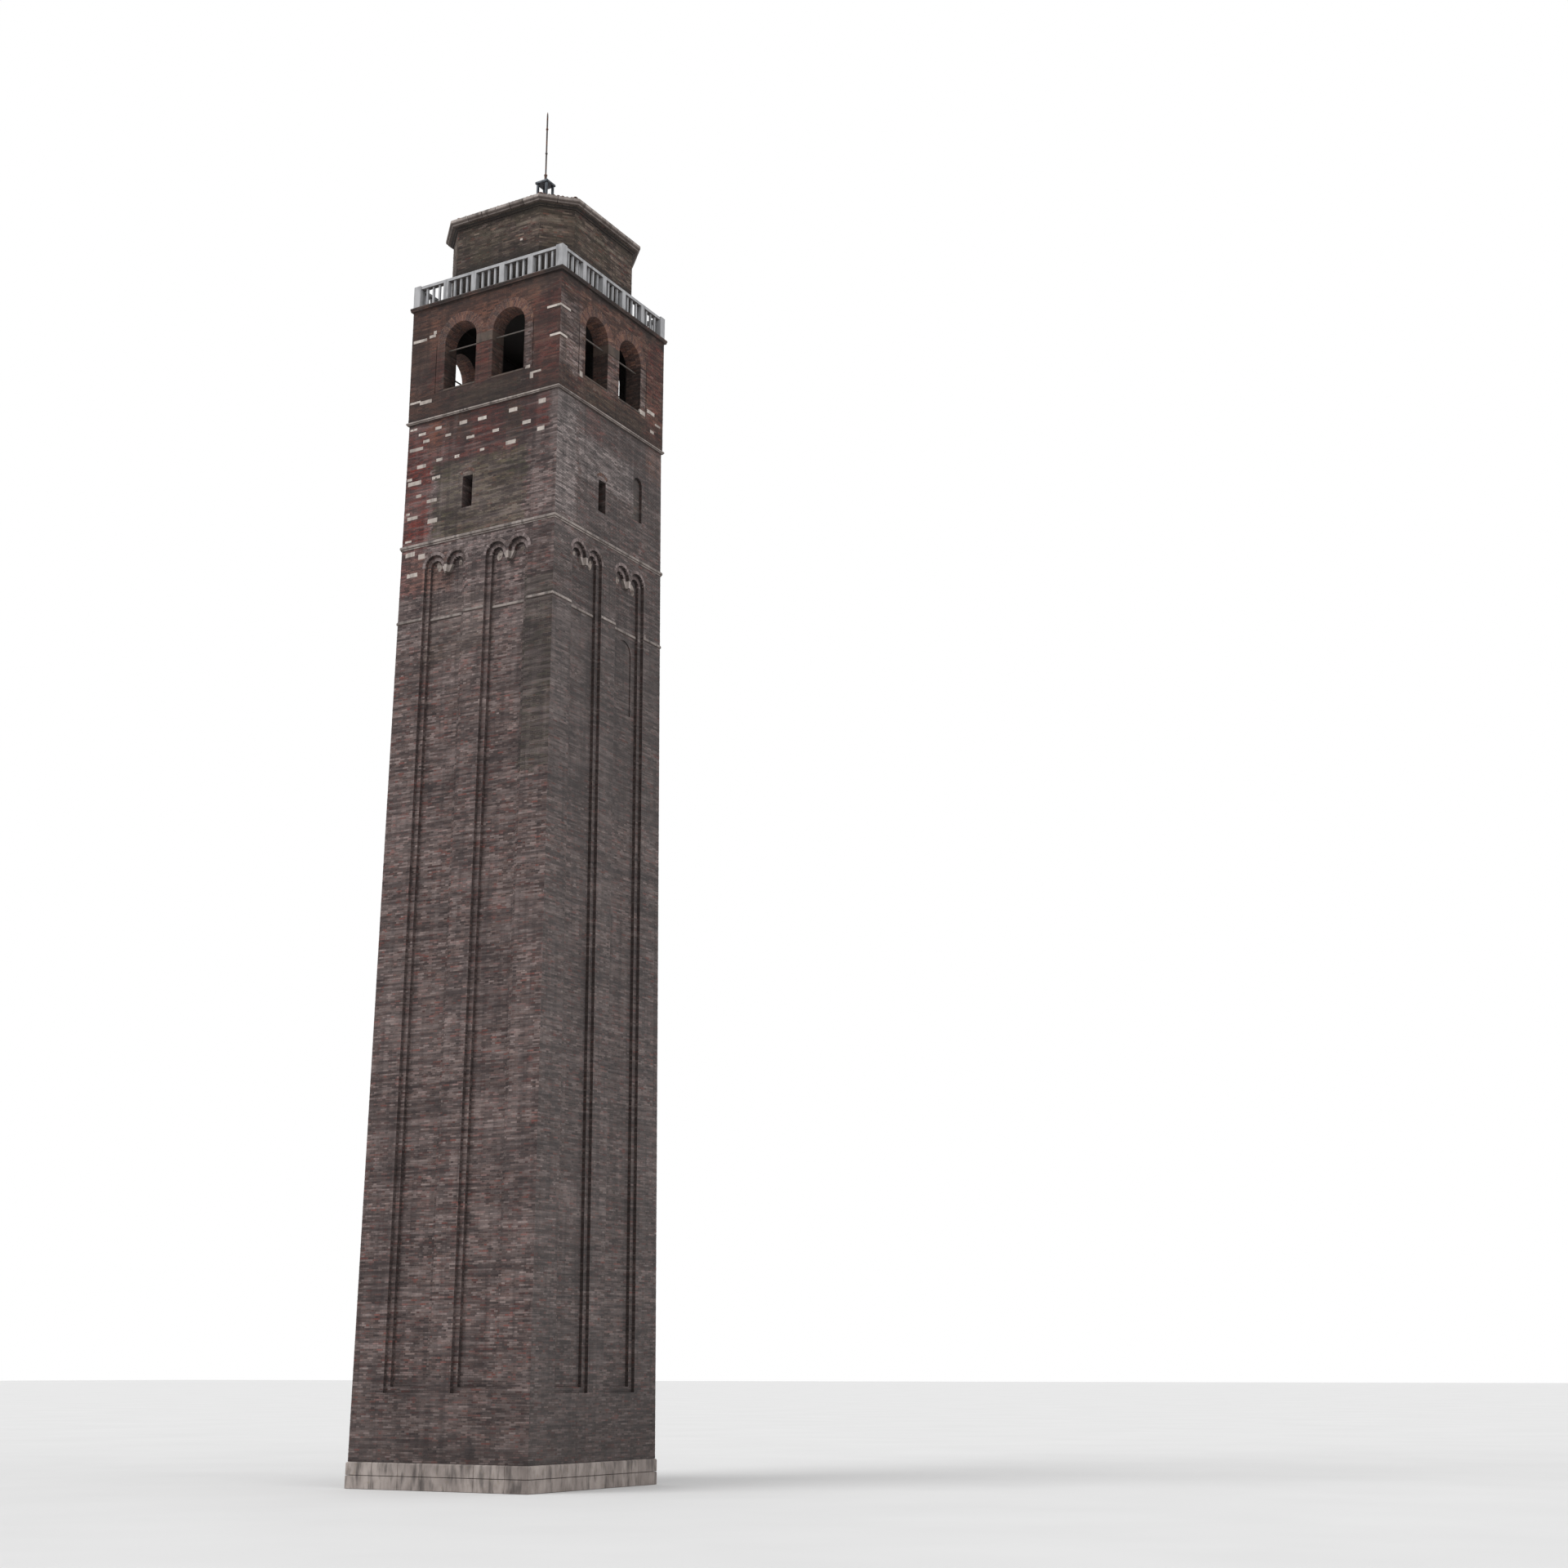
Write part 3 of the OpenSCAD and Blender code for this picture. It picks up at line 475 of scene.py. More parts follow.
def brick_bond(sizes):
    """Where a point lies in the bond: a long and a short brick take turns along each course."""
    tree = bpy.data.node_groups.new("Brick bond", "ShaderNodeTree")
    outputs = ("Brick", "Red", "Green", "Blue", "Across", "Up", "Front", "Side", "Inner")
    for output in outputs:
        tree.interface.new_socket(output, in_out="OUTPUT", socket_type="NodeSocketFloat")
    tree.interface.new_socket("Middle", in_out="OUTPUT", socket_type="NodeSocketVector")
    course = sizes.brick_h + sizes.joint
    unit = sizes.stretcher + sizes.header + 2 * sizes.joint
    split = (sizes.stretcher + sizes.joint) / unit
    place = add(tree, "ShaderNodeTexCoord").outputs
    point = axes(tree, place["Object"])
    normal = axes(tree, place["Normal"])
    # Along and up a wall, or along X and Y on a level face
    sideways = join(tree, calc(tree, "MULTIPLY", normal["Y"], -1.0), normal["X"])
    across = dot(tree, place["Object"], vector_calc(tree, "NORMALIZE", sideways))
    level = calc(tree, "GREATER_THAN", calc(tree, "ABSOLUTE", normal["Z"]), 0.7)
    across = either(tree, level, across, point["X"])
    up = either(tree, level, point["Z"], point["Y"])
    rows = calc(tree, "DIVIDE", up, course)
    row = calc(tree, "FLOOR", rows)
    units = calc(tree, "MULTIPLY_ADD", row, 0.5, calc(tree, "DIVIDE", across, unit))
    column = calc(tree, "FLOOR", units)
    share = calc(tree, "FRACT", units)
    short = calc(tree, "GREATER_THAN", share, split)
    which = calc(tree, "MULTIPLY_ADD", column, 2.0, short)
    side = calc(tree, "ROUND", calc(tree, "MULTIPLY_ADD", normal["X"], 5.0, normal["Y"]))
    cell = join(tree, which, row, side)
    # The middle of the brick, along and up the face
    centre = calc(tree, "MULTIPLY_ADD", short, 0.5, split / 2)
    centre = calc(tree, "SUBTRACT", centre, share)
    centre = calc(tree, "MULTIPLY_ADD", centre, unit, across)
    middle = join(tree, centre, calc(tree, "MULTIPLY", row, course), side)
    tone = add(tree, "ShaderNodeTexWhiteNoise", {"Vector": cell}, noise_dimensions="3D")
    tone = add(tree, "ShaderNodeSeparateColor", {0: tone.outputs["Color"]}).outputs
    # Distance to the nearest joint, which isn't quite straight
    to_split = calc(tree, "ABSOLUTE", calc(tree, "SUBTRACT", share, split))
    to_end = calc(tree, "SUBTRACT", 1.0, share)
    upright = calc(tree, "MINIMUM", calc(tree, "MINIMUM", share, to_split), to_end)
    upright = calc(tree, "MULTIPLY", upright, unit)
    bed = calc(tree, "FRACT", rows)
    bed = calc(tree, "MINIMUM", bed, calc(tree, "SUBTRACT", 1.0, bed))
    nearest = calc(tree, "MINIMUM", upright, calc(tree, "MULTIPLY", bed, course))
    wander = blotches(tree, 30, 0.3, 0.7)
    nearest = calc(tree, "MULTIPLY_ADD", wander, -0.4 * sizes.joint, nearest)
    brick = fade(tree, nearest, 0.1 * sizes.joint, 0.5 * sizes.joint)
    # A laid unit is all brick, and brings its own tone
    own = unit_tone(tree)
    laid = calc(tree, "GREATER_THAN", own["X"], 0.01)
    brick = calc(tree, "MAXIMUM", brick, laid)
    tones = [either(tree, laid, tone[drawn], own[brought])
             for drawn, brought in (("Red", "X"), ("Green", "Y"), ("Blue", "Z"))]
    # Outer faces, in opposite pairs, and the faces of openings, recesses and rooms
    outer = fade(tree, dot(tree, place["Object"], place["Normal"]), 1.3, 1.45)
    faces = []
    for axis in ("Y", "X"):
        facing = calc(tree, "ABSOLUTE", normal[axis])
        faces.append(calc(tree, "MULTIPLY", fade(tree, facing, 0.72, 0.9), outer))
    inner = calc(tree, "SUBTRACT", 1.0, outer)
    result = tree.nodes.new("NodeGroupOutput")
    values = (brick, *tones, across, up, *faces, inner, middle)
    for output, value in zip((*outputs, "Middle"), values):
        tree.links.new(first_output(value), result.inputs[output])
    return tree


def bricks(tree, context, reds, pales):
    """Bricks of several firings: their colour, and the bond that they lie in."""
    colours = context.scene.tower_colours
    group = bpy.data.node_groups.get("Brick bond") or brick_bond(context.scene.tower_sizes)
    bond = add(tree, "ShaderNodeGroup", node_tree=group).outputs
    body = layer(tree, colours.dark_brick, colours.mid_brick, bond["Red"])
    red = fade(tree, bond["Green"], 1.0 - reds, 1.0 - 0.6 * reds)
    body = layer(tree, body, colours.red_brick, red)
    pale = fade(tree, bond["Blue"], 1.0 - pales, 1.0 - 0.5 * pales)
    body = layer(tree, body, colours.pale_brick, pale)
    return layer(tree, body, colours.pale_brick, blotches(tree, 45, 0.35, 0.7), 0.3), bond


def stain(tree, bond, colour, low, high, colours):
    """Lays the stains between two heights over a colour. Their ragged edges follow the bricks."""
    point = join(tree, bond["Across"], bond["Up"])
    cloud = add(tree, "ShaderNodeTexNoise", {"Vector": point, "Scale": 2.5, "Detail": 6.0})
    shake = vector_calc(tree, "SUBTRACT", cloud.outputs["Color"], (0.5, 0.5, 0.5))
    point = vector_calc(tree, "MULTIPLY_ADD", shake, (0.45, 0.45, 0), point)
    uneven = calc(tree, "MULTIPLY_ADD", blotches(tree, (4, 4, 15), 0.36, 0.58), 0.5, 0.5)
    for face, rows in STAINS.items():
        for left, right, foot, top, tint, share in rows:
            if not low < (foot + top) / 2 < high:
                continue
            centre = ((left + right) / 2, (foot + top) / 2, 0)
            half = ((right - left) / 2, (top - foot) / 2, 0)
            away = vector_calc(tree, "ABSOLUTE", vector_calc(tree, "SUBTRACT", point, centre))
            away = axes(tree, vector_calc(tree, "SUBTRACT", away, half))
            away = calc(tree, "MAXIMUM", away["X"], away["Y"])
            away = calc(tree, "MULTIPLY_ADD", bond["Red"], 0.1, away)
            mask = fade(tree, away, 0.07, 0.01)
            colour = layer(tree, colour, getattr(colours, tint), mask, bond[face], uneven, share)
    return colour


def wall(context, name, reds, pales, ground, dark, pale, low, high, room):
    """A brick wall between two heights: bricks, joints, stains, weather, painted shade in reveals
    and rooms.
    Reds and pales are shares of the bricks, ground, dark and pale are tints."""
    colours = context.scene.tower_colours
    tree = begin(name)
    body, bond = bricks(tree, context, reds, pales)
    colour = layer(tree, body, rgba(ground), 0.4)
    # Groups of bricks that were fired alike, stains, and groups that have darkened alike
    alike, middle = (1, 3, 5), bond["Middle"]
    colour = coats(tree, colour, (
        (pale, (3.5, 15, 1), 0.5, 0.58, 0.5),
        (pale, (9, 30, 1), 0.54, 0.6, 0.45),
    ), alike, place=middle)
    colour = stain(tree, bond, colour, low, high, colours)
    colour = coats(tree, colour, (
        (dark, (3.5, 17, 1), 0.5, 0.58, 0.6),
        (dark, (8, 30, 1), 0.52, 0.58, 0.6),
    ), alike, first=2, place=middle)
    black = blotches(tree, (2.5, 2.5, 7), 0.42, 0.56)
    mortar = layer(tree, colours.mortar, colours.soot, black, 0.8)
    colour = layer(tree, mortar, colour, bond["Brick"])
    # Weather over bricks and joints: patches, bands and streaks
    colour = coats(tree, colour, (
        (pale, (0.8, 0.8, 1.2), 0.5, 0.72, 0.2),
        (pale, (0.9, 0.9, 14), 0.52, 0.64, 0.25),
        (pale, (6, 6, 0.6), 0.54, 0.7, 0.15),
        (dark, (1.1, 1.1, 1.5), 0.48, 0.66, 0.45),
        (dark, (0.7, 0.7, 12), 0.46, 0.62, 0.5),
        (dark, (7, 7, 0.5), 0.52, 0.66, 0.35),
    ), (7, 2, 1))
    # Painted shade in the reveals, deepest in those that face the front or the back
    normal = axes(tree, add(tree, "ShaderNodeNewGeometry").outputs["True Normal"])
    turned = fade(tree, calc(tree, "ABSOLUTE", normal["X"]), 1.6, 0.4)
    colour = layer(tree, colour, rgba("#241c18"), bond["Inner"], turned, 0.6)
    # Painted shade: the faces inside a room are nearly black
    colour = layer(tree, colour, rgba("#161414"), indoors(tree, room), 0.92)
    return tree, bond, colour


def end_brick(tree, bond, colour):
    """Rough brick faces, with joints that lie 4 mm deeper."""
    grain = blotches(tree, 160, 0.3, 0.7)
    hollow = blotches(tree, (18, 18, 30), 0.35, 0.65)
    height = calc(tree, "MULTIPLY_ADD", grain, 0.25, bond["Brick"])
    height = calc(tree, "MULTIPLY_ADD", hollow, 0.5, height)
    return end(tree, colour, height, 0.004, 0.92)


def shaft_brick(context):
    """Old handmade brick, worn matt to a grey-brown: bricks and joints have nearly one tone."""
    tree, bond, colour = wall(
        context, "Handmade shaft brick", reds=0.22, pales=0.14, ground="#66544f", dark="#2b2324",
        pale="#9a8b88", low=0, high=SHAFT_TOP, room=SHAFT_INNER)
    soot, up = context.scene.tower_colours.soot, bond["Up"]
    colour = layer(tree, colour, rgba("#5e5d5c"), bond["Side"], 0.28)
    colour = layer(tree, colour, soot, fade(tree, up, 2.6, 0.3), 0.4)
    colour = layer(tree, colour, soot, fade(tree, up, SHAFT_TOP - 0.12, SHAFT_TOP - 0.01), 0.4)
    return end_brick(tree, bond, colour)


def bell_brick(context):
    """Warm brown handmade brick, sooty at the chamber's foot, sooty and in painted shade under the
    terrace, and in painted shade indoors.
    """
    tree, bond, colour = wall(
        context, "Handmade bell chamber brick", reds=0.26, pales=0.1, ground="#543a32",
        dark="#1f1716", pale="#83695b", low=SHAFT_TOP, high=BELL_TOP, room=BELL_INNER)
    colours, up = context.scene.tower_colours, bond["Up"]
    colour = layer(tree, colour, colours.dark_brick, bond["Front"], 0.28)
    colour = layer(tree, colour, colours.soot, fade(tree, up, 20.75, 20.2), 0.45)
    # Under the terrace: painted shade, partly soot, in ragged patches
    under = fade(tree, up, BELL_TOP - 0.25, BELL_TOP - 0.02)
    colour = layer(tree, colour, colours.soot, under, blotches(tree, (3, 3, 5), 0.32, 0.58), 0.8)
    return end_brick(tree, bond, colour)


def drum_brick(context):
    """Dark olive-brown handmade brick, thick with lichen, with one paler course band high up, and
    painted shade under the cornice and at its foot behind the balustrade.
    """
    tree, bond, colour = wall(
        context, "Handmade drum brick", reds=0.12, pales=0.12, ground="#4d4139", dark="#1d1714",
        pale="#8d7d6e", low=TERRACE, high=ROOF_TOP, room=0.0)
    soot, up = context.scene.tower_colours.soot, bond["Up"]
    colour = layer(tree, colour, rgba("#484234"), blotches(tree, (1.3, 1.3, 1.5), 0.45, 0.6), 0.4)
    foot = fade(tree, up, DRUM_TOP - 0.325, DRUM_TOP - 0.295)
    head = fade(tree, up, DRUM_TOP - 0.225, DRUM_TOP - 0.255)
    ragged = blotches(tree, (3, 3, 1), 0.42, 0.6)
    colour = layer(tree, colour, rgba("#8b8073"), foot, head, ragged, 0.6)
    # Painted shadow in a band under the cornice
    foot = fade(tree, up, DRUM_TOP - 0.1, DRUM_TOP - 0.01)
    head = fade(tree, up, DRUM_TOP + 0.01, DRUM_TOP)
    colour = layer(tree, colour, soot, foot, head, 0.7)
    # Painted shade at the foot, behind the balustrade
    colour = layer(tree, colour, soot, fade(tree, up, TERRACE + 0.95, TERRACE + 0.65), 0.85)
    return end_brick(tree, bond, colour)


def arch_brick(context):
    """Arch bricks laid on end, from ochre to dark red, each fired to its own tone."""
    colours = context.scene.tower_colours
    tree = begin("Arch brick")
    tone = unit_tone(tree)
    colour = layer(tree, colours.dark_brick, rgba("#6f4a3d"), tone["X"])
    colour = layer(tree, colour, rgba("#85604c"), fade(tree, tone["Y"], 0.7, 0.9), 0.7)
    colour = layer(tree, colour, colours.soot, blotches(tree, 3, 0.45, 0.65), 0.6)
    colour = layer(tree, colour, colours.pale_brick, blotches(tree, 50, 0.45, 0.7), 0.4)
    return end(tree, colour, blotches(tree, 140, 0.3, 0.7), 0.002, 0.9)


def pale_arch_brick(context):
    """Thin arch bricks of the blind bays, whitened by lime."""
    tree = begin("Limewashed arch brick")
    colour = layer(tree, rgba("#645856"), rgba("#958785"), unit_tone(tree)["X"])
    colour = layer(tree, colour, rgba("#3a2d28"), blotches(tree, 4, 0.48, 0.62), 0.7)
    return end(tree, colour, blotches(tree, 140, 0.3, 0.7), 0.002, 0.9)


def limestone(context, name, base, dark, dirt, lichen):
    """Dense white limestone, tooled flat: rain keeps it pale, soot blackens it in blotches, and
    painted shade darkens its undersides and the stone indoors.
    """
    soot = context.scene.tower_colours.soot
    tree = begin(name)
    colour = layer(tree, rgba(base), rgba(dark), unit_tone(tree)["X"], 0.6)
    colour = layer(tree, colour, rgba(dark), blotches(tree, (5, 5, 3), 0.38, 0.7), dirt)
    crust = blotches(tree, (9, 9, 2.2), 0.5, 0.68, offset=(4, 4, 1))
    colour = layer(tree, colour, soot, crust, dirt)
    colour = layer(tree, colour, rgba("#7d6f52"), blotches(tree, 14, 0.6, 0.75), lichen)
    # Painted shade: faces that look down are darker and browner
    normal = axes(tree, add(tree, "ShaderNodeTexCoord").outputs["Normal"])
    colour = layer(tree, colour, rgba("#3c2f29"), fade(tree, normal["Z"], -0.2, -0.6), 0.8)
    # Painted shade on the stone inside the bell chamber
    colour = layer(tree, colour, rgba("#191717"), indoors(tree, BELL_INNER - 0.05), 0.8)
    return end(tree, colour, blotches(tree, 90, 0.35, 0.7), 0.002, 0.8)


def weathered_stone(context):
    """Limestone of string courses and plinth, greyed and stained."""
    return limestone(context, "Weathered limestone", "#b3a8a2", "#5f5551", 0.6, 0.3)


def sooty_stone(context):
    """Limestone of imposts, sills and the terrace's edge, nearly as dark as the brick."""
    return limestone(context, "Sooty limestone", "#54463e", "#2f2723", 0.7, 0.2)


def clean_stone(context):
    """Limestone blocks let into the brick, washed nearly white."""
    return limestone(context, "Washed limestone", "#cfc5bd", "#8d827b", 0.4, 0.15)


def balustrade_stone(context):
    """Cool grey limestone of the balustrade, smooth and streaked."""
    return limestone(context, "Grey limestone", "#b3b3b5", "#6d6e73", 0.4, 0.15)


def lime_plaster(context):
    """Thin lime plaster, flaking off the brick."""
    tree = begin("Lime plaster")
    flaked = blotches(tree, 14, 0.42, 0.6)
    colour = layer(tree, context.scene.tower_colours.plaster, rgba("#5f544e"), flaked)
    return end(tree, colour, blotches(tree, 60, 0.3, 0.7), 0.003, 0.9)


def old_timber(context):
    """Bare sawn oak: dark grain along the board, silvered on the ridges."""
    tree = begin("Weathered oak")
    grain = blotches(tree, (70, 70, 3), 0.35, 0.65, detail=6.0)
    colour = layer(tree, context.scene.tower_colours.timber, rgba("#32271e"), grain)
    colour = layer(tree, colour, rgba("#7b6c5b"), unit_tone(tree)["X"], 0.4)
    return end(tree, colour, grain, 0.001, 0.75)


def wrought_iron(context):
    """Hammered iron, dull grey with patches of brown rust."""
    tree = begin("Wrought iron")
    rust = blotches(tree, (16, 16, 9), 0.45, 0.62, detail=6.0)
    colour = layer(tree, context.scene.tower_colours.iron, rgba("#6b4634"), rust, 0.7)
    return end(tree, colour, rust, 0.001, 0.65, metallic=0.6)


def limewashed_iron(context):
    """Tie bars, limewashed with the walls long ago and dusty."""
    tree = begin("Limewashed iron")
    rust = blotches(tree, 12, 0.42, 0.66, detail=6.0)
    colour = layer(tree, rgba("#5b5551"), rgba("#43332b"), rust, 0.7)
    return end(tree, colour, rust, 0.001, 0.8)


def sheet_lead(context):
    """Sheet lead, dressed by hand and oxidised to a dull blue-grey."""
    tree = begin("Sheet lead")
    bloom = blotches(tree, (18, 18, 8), 0.4, 0.68)
    colour = layer(tree, context.scene.tower_colours.lead, rgba("#6d747a"), bloom, 0.6)
    return end(tree, colour, bloom, 0.001, 0.55, metallic=0.5)


def clay_tile(context):
    """Hand-moulded clay tiles, each fired a little differently, with dark lichen."""
    tree = begin("Clay tile")
    tone = unit_tone(tree)
    colour = layer(tree, context.scene.tower_colours.tile, rgba("#6d4332"), tone["X"])
    colour = layer(tree, colour, rgba("#b08d74"), fade(tree, tone["Y"], 0.75, 0.95), 0.6)
    colour = layer(tree, colour, rgba("#3f3a31"), blotches(tree, 9, 0.48, 0.68), 0.7)
    return end(tree, colour, blotches(tree, 110, 0.3, 0.7), 0.001, 0.88)


FINISHES = {}


def finish(build, context):
    """The material that a function builds. It is built once."""
    if build not in FINISHES:
        tree = build(context)
        FINISHES[build] = next(m for m in bpy.data.materials if m.node_tree == tree)
    return FINISHES[build]


def spot(angle, across, reach, height):
    """The point so far across a face, out from the tower's axis and up. The front's angle is 0."""
    along = Vector((math.cos(angle), math.sin(angle), 0))
    out = Vector((math.sin(angle), -math.cos(angle), 0))
    return along * across + out * reach + Vector((0, 0, height))


def shaft_half(z):
    """Half of the shaft's width at a height, because its faces lean in."""
    (low_z, low), (high_z, high) = LEAN_LOW, LEAN_HIGH
    return low + (high - low) * (z - low_z) / (high_z - low_z)


def minus(spans, cuts):
    """Lengths of wall with the cuts taken out."""
    for low, high in cuts:
        parts = [part for a, b in spans for part in ((a, min(b, low)), (max(a, high), b))]
        spans = [(a, b) for a, b in parts if b > a]
    return spans


def arch_cut(middle, spring, radius, bottom):
    """What a round arch takes out of a course whose bed is above the spring line."""
    rise = bottom - spring
    if not 0 <= rise < radius:
        return []
    half = math.sqrt(radius ** 2 - rise ** 2)
    return [(middle - half, middle + half)]


def quoin_lengths(sizes, row):
    """Length of a corner brick on its own face and on the next one."""
    return (sizes.stretcher, sizes.header) if row % 2 else (sizes.header, sizes.stretcher)


def wall_between(sizes, row, half):
    """What is left of a course between the corner bricks."""
    right, left = quoin_lengths(sizes, row)
    return [(-half + left + sizes.joint, half - right - sizes.joint)]


def bay_ranges():
    """Both blind bays of a face, along it."""
    return [(side * BAY_MID - BAY_HALF, side * BAY_MID + BAY_HALF) for side in SIDES]


def small_arches():
    """The middles of the four small arches of a face."""
    return [side * BAY_MID + twin * SMALL_ARCH_MID for side in SIDES for twin in SIDES]


def square_sides(half, back_gaps=()):
    """The four sides of a square plan, for a moulding."""
    return [(angle, half, half, 1.0, back_gaps if face == "back" else ())
            for face, angle in FACES.items()]


class Units:
    """Places of units to lay: the middle, the turn and the size of each."""

    def __init__(self, seed):
        self.places = []
        self.random = random.Random(seed)

    def add(self, middle, turn, size):
        """One unit. Its size is along, through and up."""
        self.places.append((tuple(middle), turn, size))

    def courses(self, sizes, low, high):
        """The number, bed, middle and height of each course between two heights."""
        course = sizes.brick_h + sizes.joint
        for row in range(math.floor(low / course), math.ceil(high / course)):
            bottom = max(row * course + sizes.joint / 2, low)
            top = min((row + 1) * course - sizes.joint / 2, high)
            if top - bottom > MIN_HEIGHT:
                yield row, bottom, (bottom + top) / 2, top - bottom

    def bond(self, sizes, angle, reach, low, high, spans, chance=1.0):
        """Bricks on a face at a reach from the axis, on the same grid as the brick's finish."""
        unit = sizes.stretcher + sizes.header + 2 * sizes.joint
        for row, bottom, z, rise in self.courses(sizes, low, high):
            out = reach(z) + (RELIEF - SET) / 2
            for left, right in spans(row, bottom):
                first, last = (math.floor(side / unit + row / 2) for side in (left, right))
                for column in range(first, last + 1):
                    start = (column - row / 2) * unit + sizes.joint / 2
                    second = start + sizes.stretcher + sizes.joint
                    for a, b in ((start, start + sizes.stretcher), (second, second + sizes.header)):
                        a, b = max(a, left), min(b, right)
                        if b - a > MIN_LENGTH and self.random.random() < chance:
                            size = (b - a, RELIEF + SET, rise)
                            self.add(spot(angle, (a + b) / 2, out, z), (0, 0, angle), size)

    def quoins(self, sizes, angle, edge, side, reach, low, high):
        """Corner bricks, long and short in turn, where a face ends at its right (1) or left."""
        for row, _, z, rise in self.courses(sizes, low, high):
            length, depth = quoin_lengths(sizes, row)
            across = edge(z) + side * (RELIEF - length / 2)
            middle = spot(angle, across, reach(z) + RELIEF - depth / 2, z)
            self.add(middle, (0, 0, angle), (length, depth, rise))

    def ring(self, sizes, angle, centre, reach, inner, outer, depth, ends=(0, math.pi), keep=None):
        """Bricks on end round an arch, between two radii. The centre is (across, height)."""
        start, stop = ends
        radius = (inner + outer) / 2
        count = max(3, round((stop - start) * radius / (sizes.brick_h + sizes.joint)))
        step = (stop - start) / count
        size = (outer * step - sizes.joint, depth, outer - inner)
        for i in range(count):
            phi = start + (i + 0.5) * step
            if keep and not keep(centre[0] + outer * math.cos(phi)):
                continue
            middle = spot(angle, centre[0] + radius * math.cos(phi), reach + RELIEF - depth / 2,
                          centre[1] + radius * math.sin(phi))
            self.add(middle, (0, math.pi / 2 - phi, angle), size)


def masonry_tree():
    """Sets a unit on every point, in that point's size and turn, a little out of line, toned."""
    tree = bpy.data.node_groups.new("Laid units", "GeometryNodeTree")
    for name, kind in (("Places", "Geometry"), ("Unit", "Object"), ("Finish", "Material"),
                       ("Shift", "Float"), ("Tilt", "Float"), ("Seed", "Int")):
        tree.interface.new_socket(name, in_out="INPUT", socket_type="NodeSocket" + kind)
    tree.interface.new_socket("Masonry", in_out="OUTPUT", socket_type="NodeSocketGeometry")
    given = tree.nodes.new("NodeGroupInput").outputs

    def spread(amount, number):
        seed = calc(tree, "ADD", given["Seed"], number)
        less = calc(tree, "MULTIPLY", amount, -1.0)
        return add(tree, "FunctionNodeRandomValue", {"Min": less, "Max": amount, "Seed": seed},
                   data_type="FLOAT_VECTOR")

    def brought(name):
        return add(tree, "GeometryNodeInputNamedAttribute", {"Name": name},
                   data_type="FLOAT_VECTOR").outputs["Attribute"]

    moved = add(tree, "GeometryNodeSetPosition",
                {"Geometry": given["Places"], "Offset": spread(given["Shift"], 1)})
    turn = vector_calc(tree, "ADD", brought("turn"), spread(given["Tilt"], 2))
    turn = add(tree, "FunctionNodeEulerToRotation", {"Euler": turn})
    size = brought("size")
    unit = add(tree, "GeometryNodeObjectInfo", {"Object": given["Unit"]}).outputs["Geometry"]
    laid = add(tree, "GeometryNodeInstanceOnPoints",
               {"Points": moved, "Instance": unit, "Rotation": turn, "Scale": size})
    seed = calc(tree, "ADD", given["Seed"], 3)
    tone = add(tree, "FunctionNodeRandomValue",
               {"Min": (0.05, 0.05, 0.05), "Max": (1, 1, 1), "Seed": seed},
               data_type="FLOAT_VECTOR")
    toned = add(tree, "GeometryNodeStoreNamedAttribute",
                {"Geometry": laid, "Name": "tone", "Value": tone},
                data_type="FLOAT_VECTOR", domain="INSTANCE")
    real = add(tree, "GeometryNodeRealizeInstances", {"Geometry": toned})
    finished = add(tree, "GeometryNodeSetMaterial", {"Geometry": real, "Material": given["Finish"]})
    result = tree.nodes.new("NodeGroupOutput")
    tree.links.new(finished.outputs[0], result.inputs[0])
    return tree


def new_object(context, name, data):
    """A new object in the scene."""
    thing = bpy.data.objects.new(name, data)
    context.scene.collection.objects.link(thing)
    return thing


def mesh_from(bm, name):
    """A mesh of what has been built, which is then freed."""
    mesh = bpy.data.meshes.new(name)
    bm.to_mesh(mesh)
    bm.free()
    return mesh


def plain_mesh(context, holder):
    """The evaluated mesh of an object, which is then removed."""
    graph = context.evaluated_depsgraph_get()
    mesh = bpy.data.meshes.new_from_object(holder.evaluated_get(graph), depsgraph=graph,
                                           preserve_all_data_layers=True)
    bpy.data.objects.remove(holder)
    return mesh


def make(context, name, mesh, build, slot, *nodes):
    """A finished piece on the tower's only body, in place of the nodes that it stands for."""
    mesh.name = name
    mesh.materials.clear()
    mesh.materials.append(finish(build, context))
    mesh.polygons.foreach_set("material_index", [0] * len(mesh.polygons))
    piece = new_object(context, name, mesh)
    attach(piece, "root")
    if nodes:
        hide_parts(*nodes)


def lay(context, name, units, unit_mesh, build, slot, shift=0.0012, tilt=0.01):
    """Lays units with the masonry tree, and makes one plain mesh of them."""
    mesh = bpy.data.meshes.new(name)
    mesh.from_pydata([place[0] for place in units.places], [], [])
    for attribute, index in (("turn", 1), ("size", 2)):
        values = mesh.attributes.new(attribute, "FLOAT_VECTOR", "POINT")
        values.data.foreach_set("vector", [c for place in units.places for c in place[index]])
    unit = new_object(context, name + "_unit", unit_mesh)
    holder = new_object(context, name + "_places", mesh)
    tree = bpy.data.node_groups.get("Laid units") or masonry_tree()
    modifier = holder.modifiers.new("Laid units", "NODES")
    modifier.node_group = tree
    values = {"Unit": unit, "Finish": finish(build, context), "Shift": shift, "Tilt": tilt,
              "Seed": context.scene.tower_sizes.seed}
    for item in tree.interface.items_tree:
        if item.in_out == "INPUT" and item.name in values:
            modifier[item.identifier] = values[item.name]
    laid = plain_mesh(context, holder)
    bpy.data.objects.remove(unit)
    if not laid.polygons:
        raise RuntimeError(f"{name}: nothing was laid")
    for attribute in ("turn", "size"):
        laid.attributes.remove(laid.attributes[attribute])
    make(context, name, laid, build, slot)


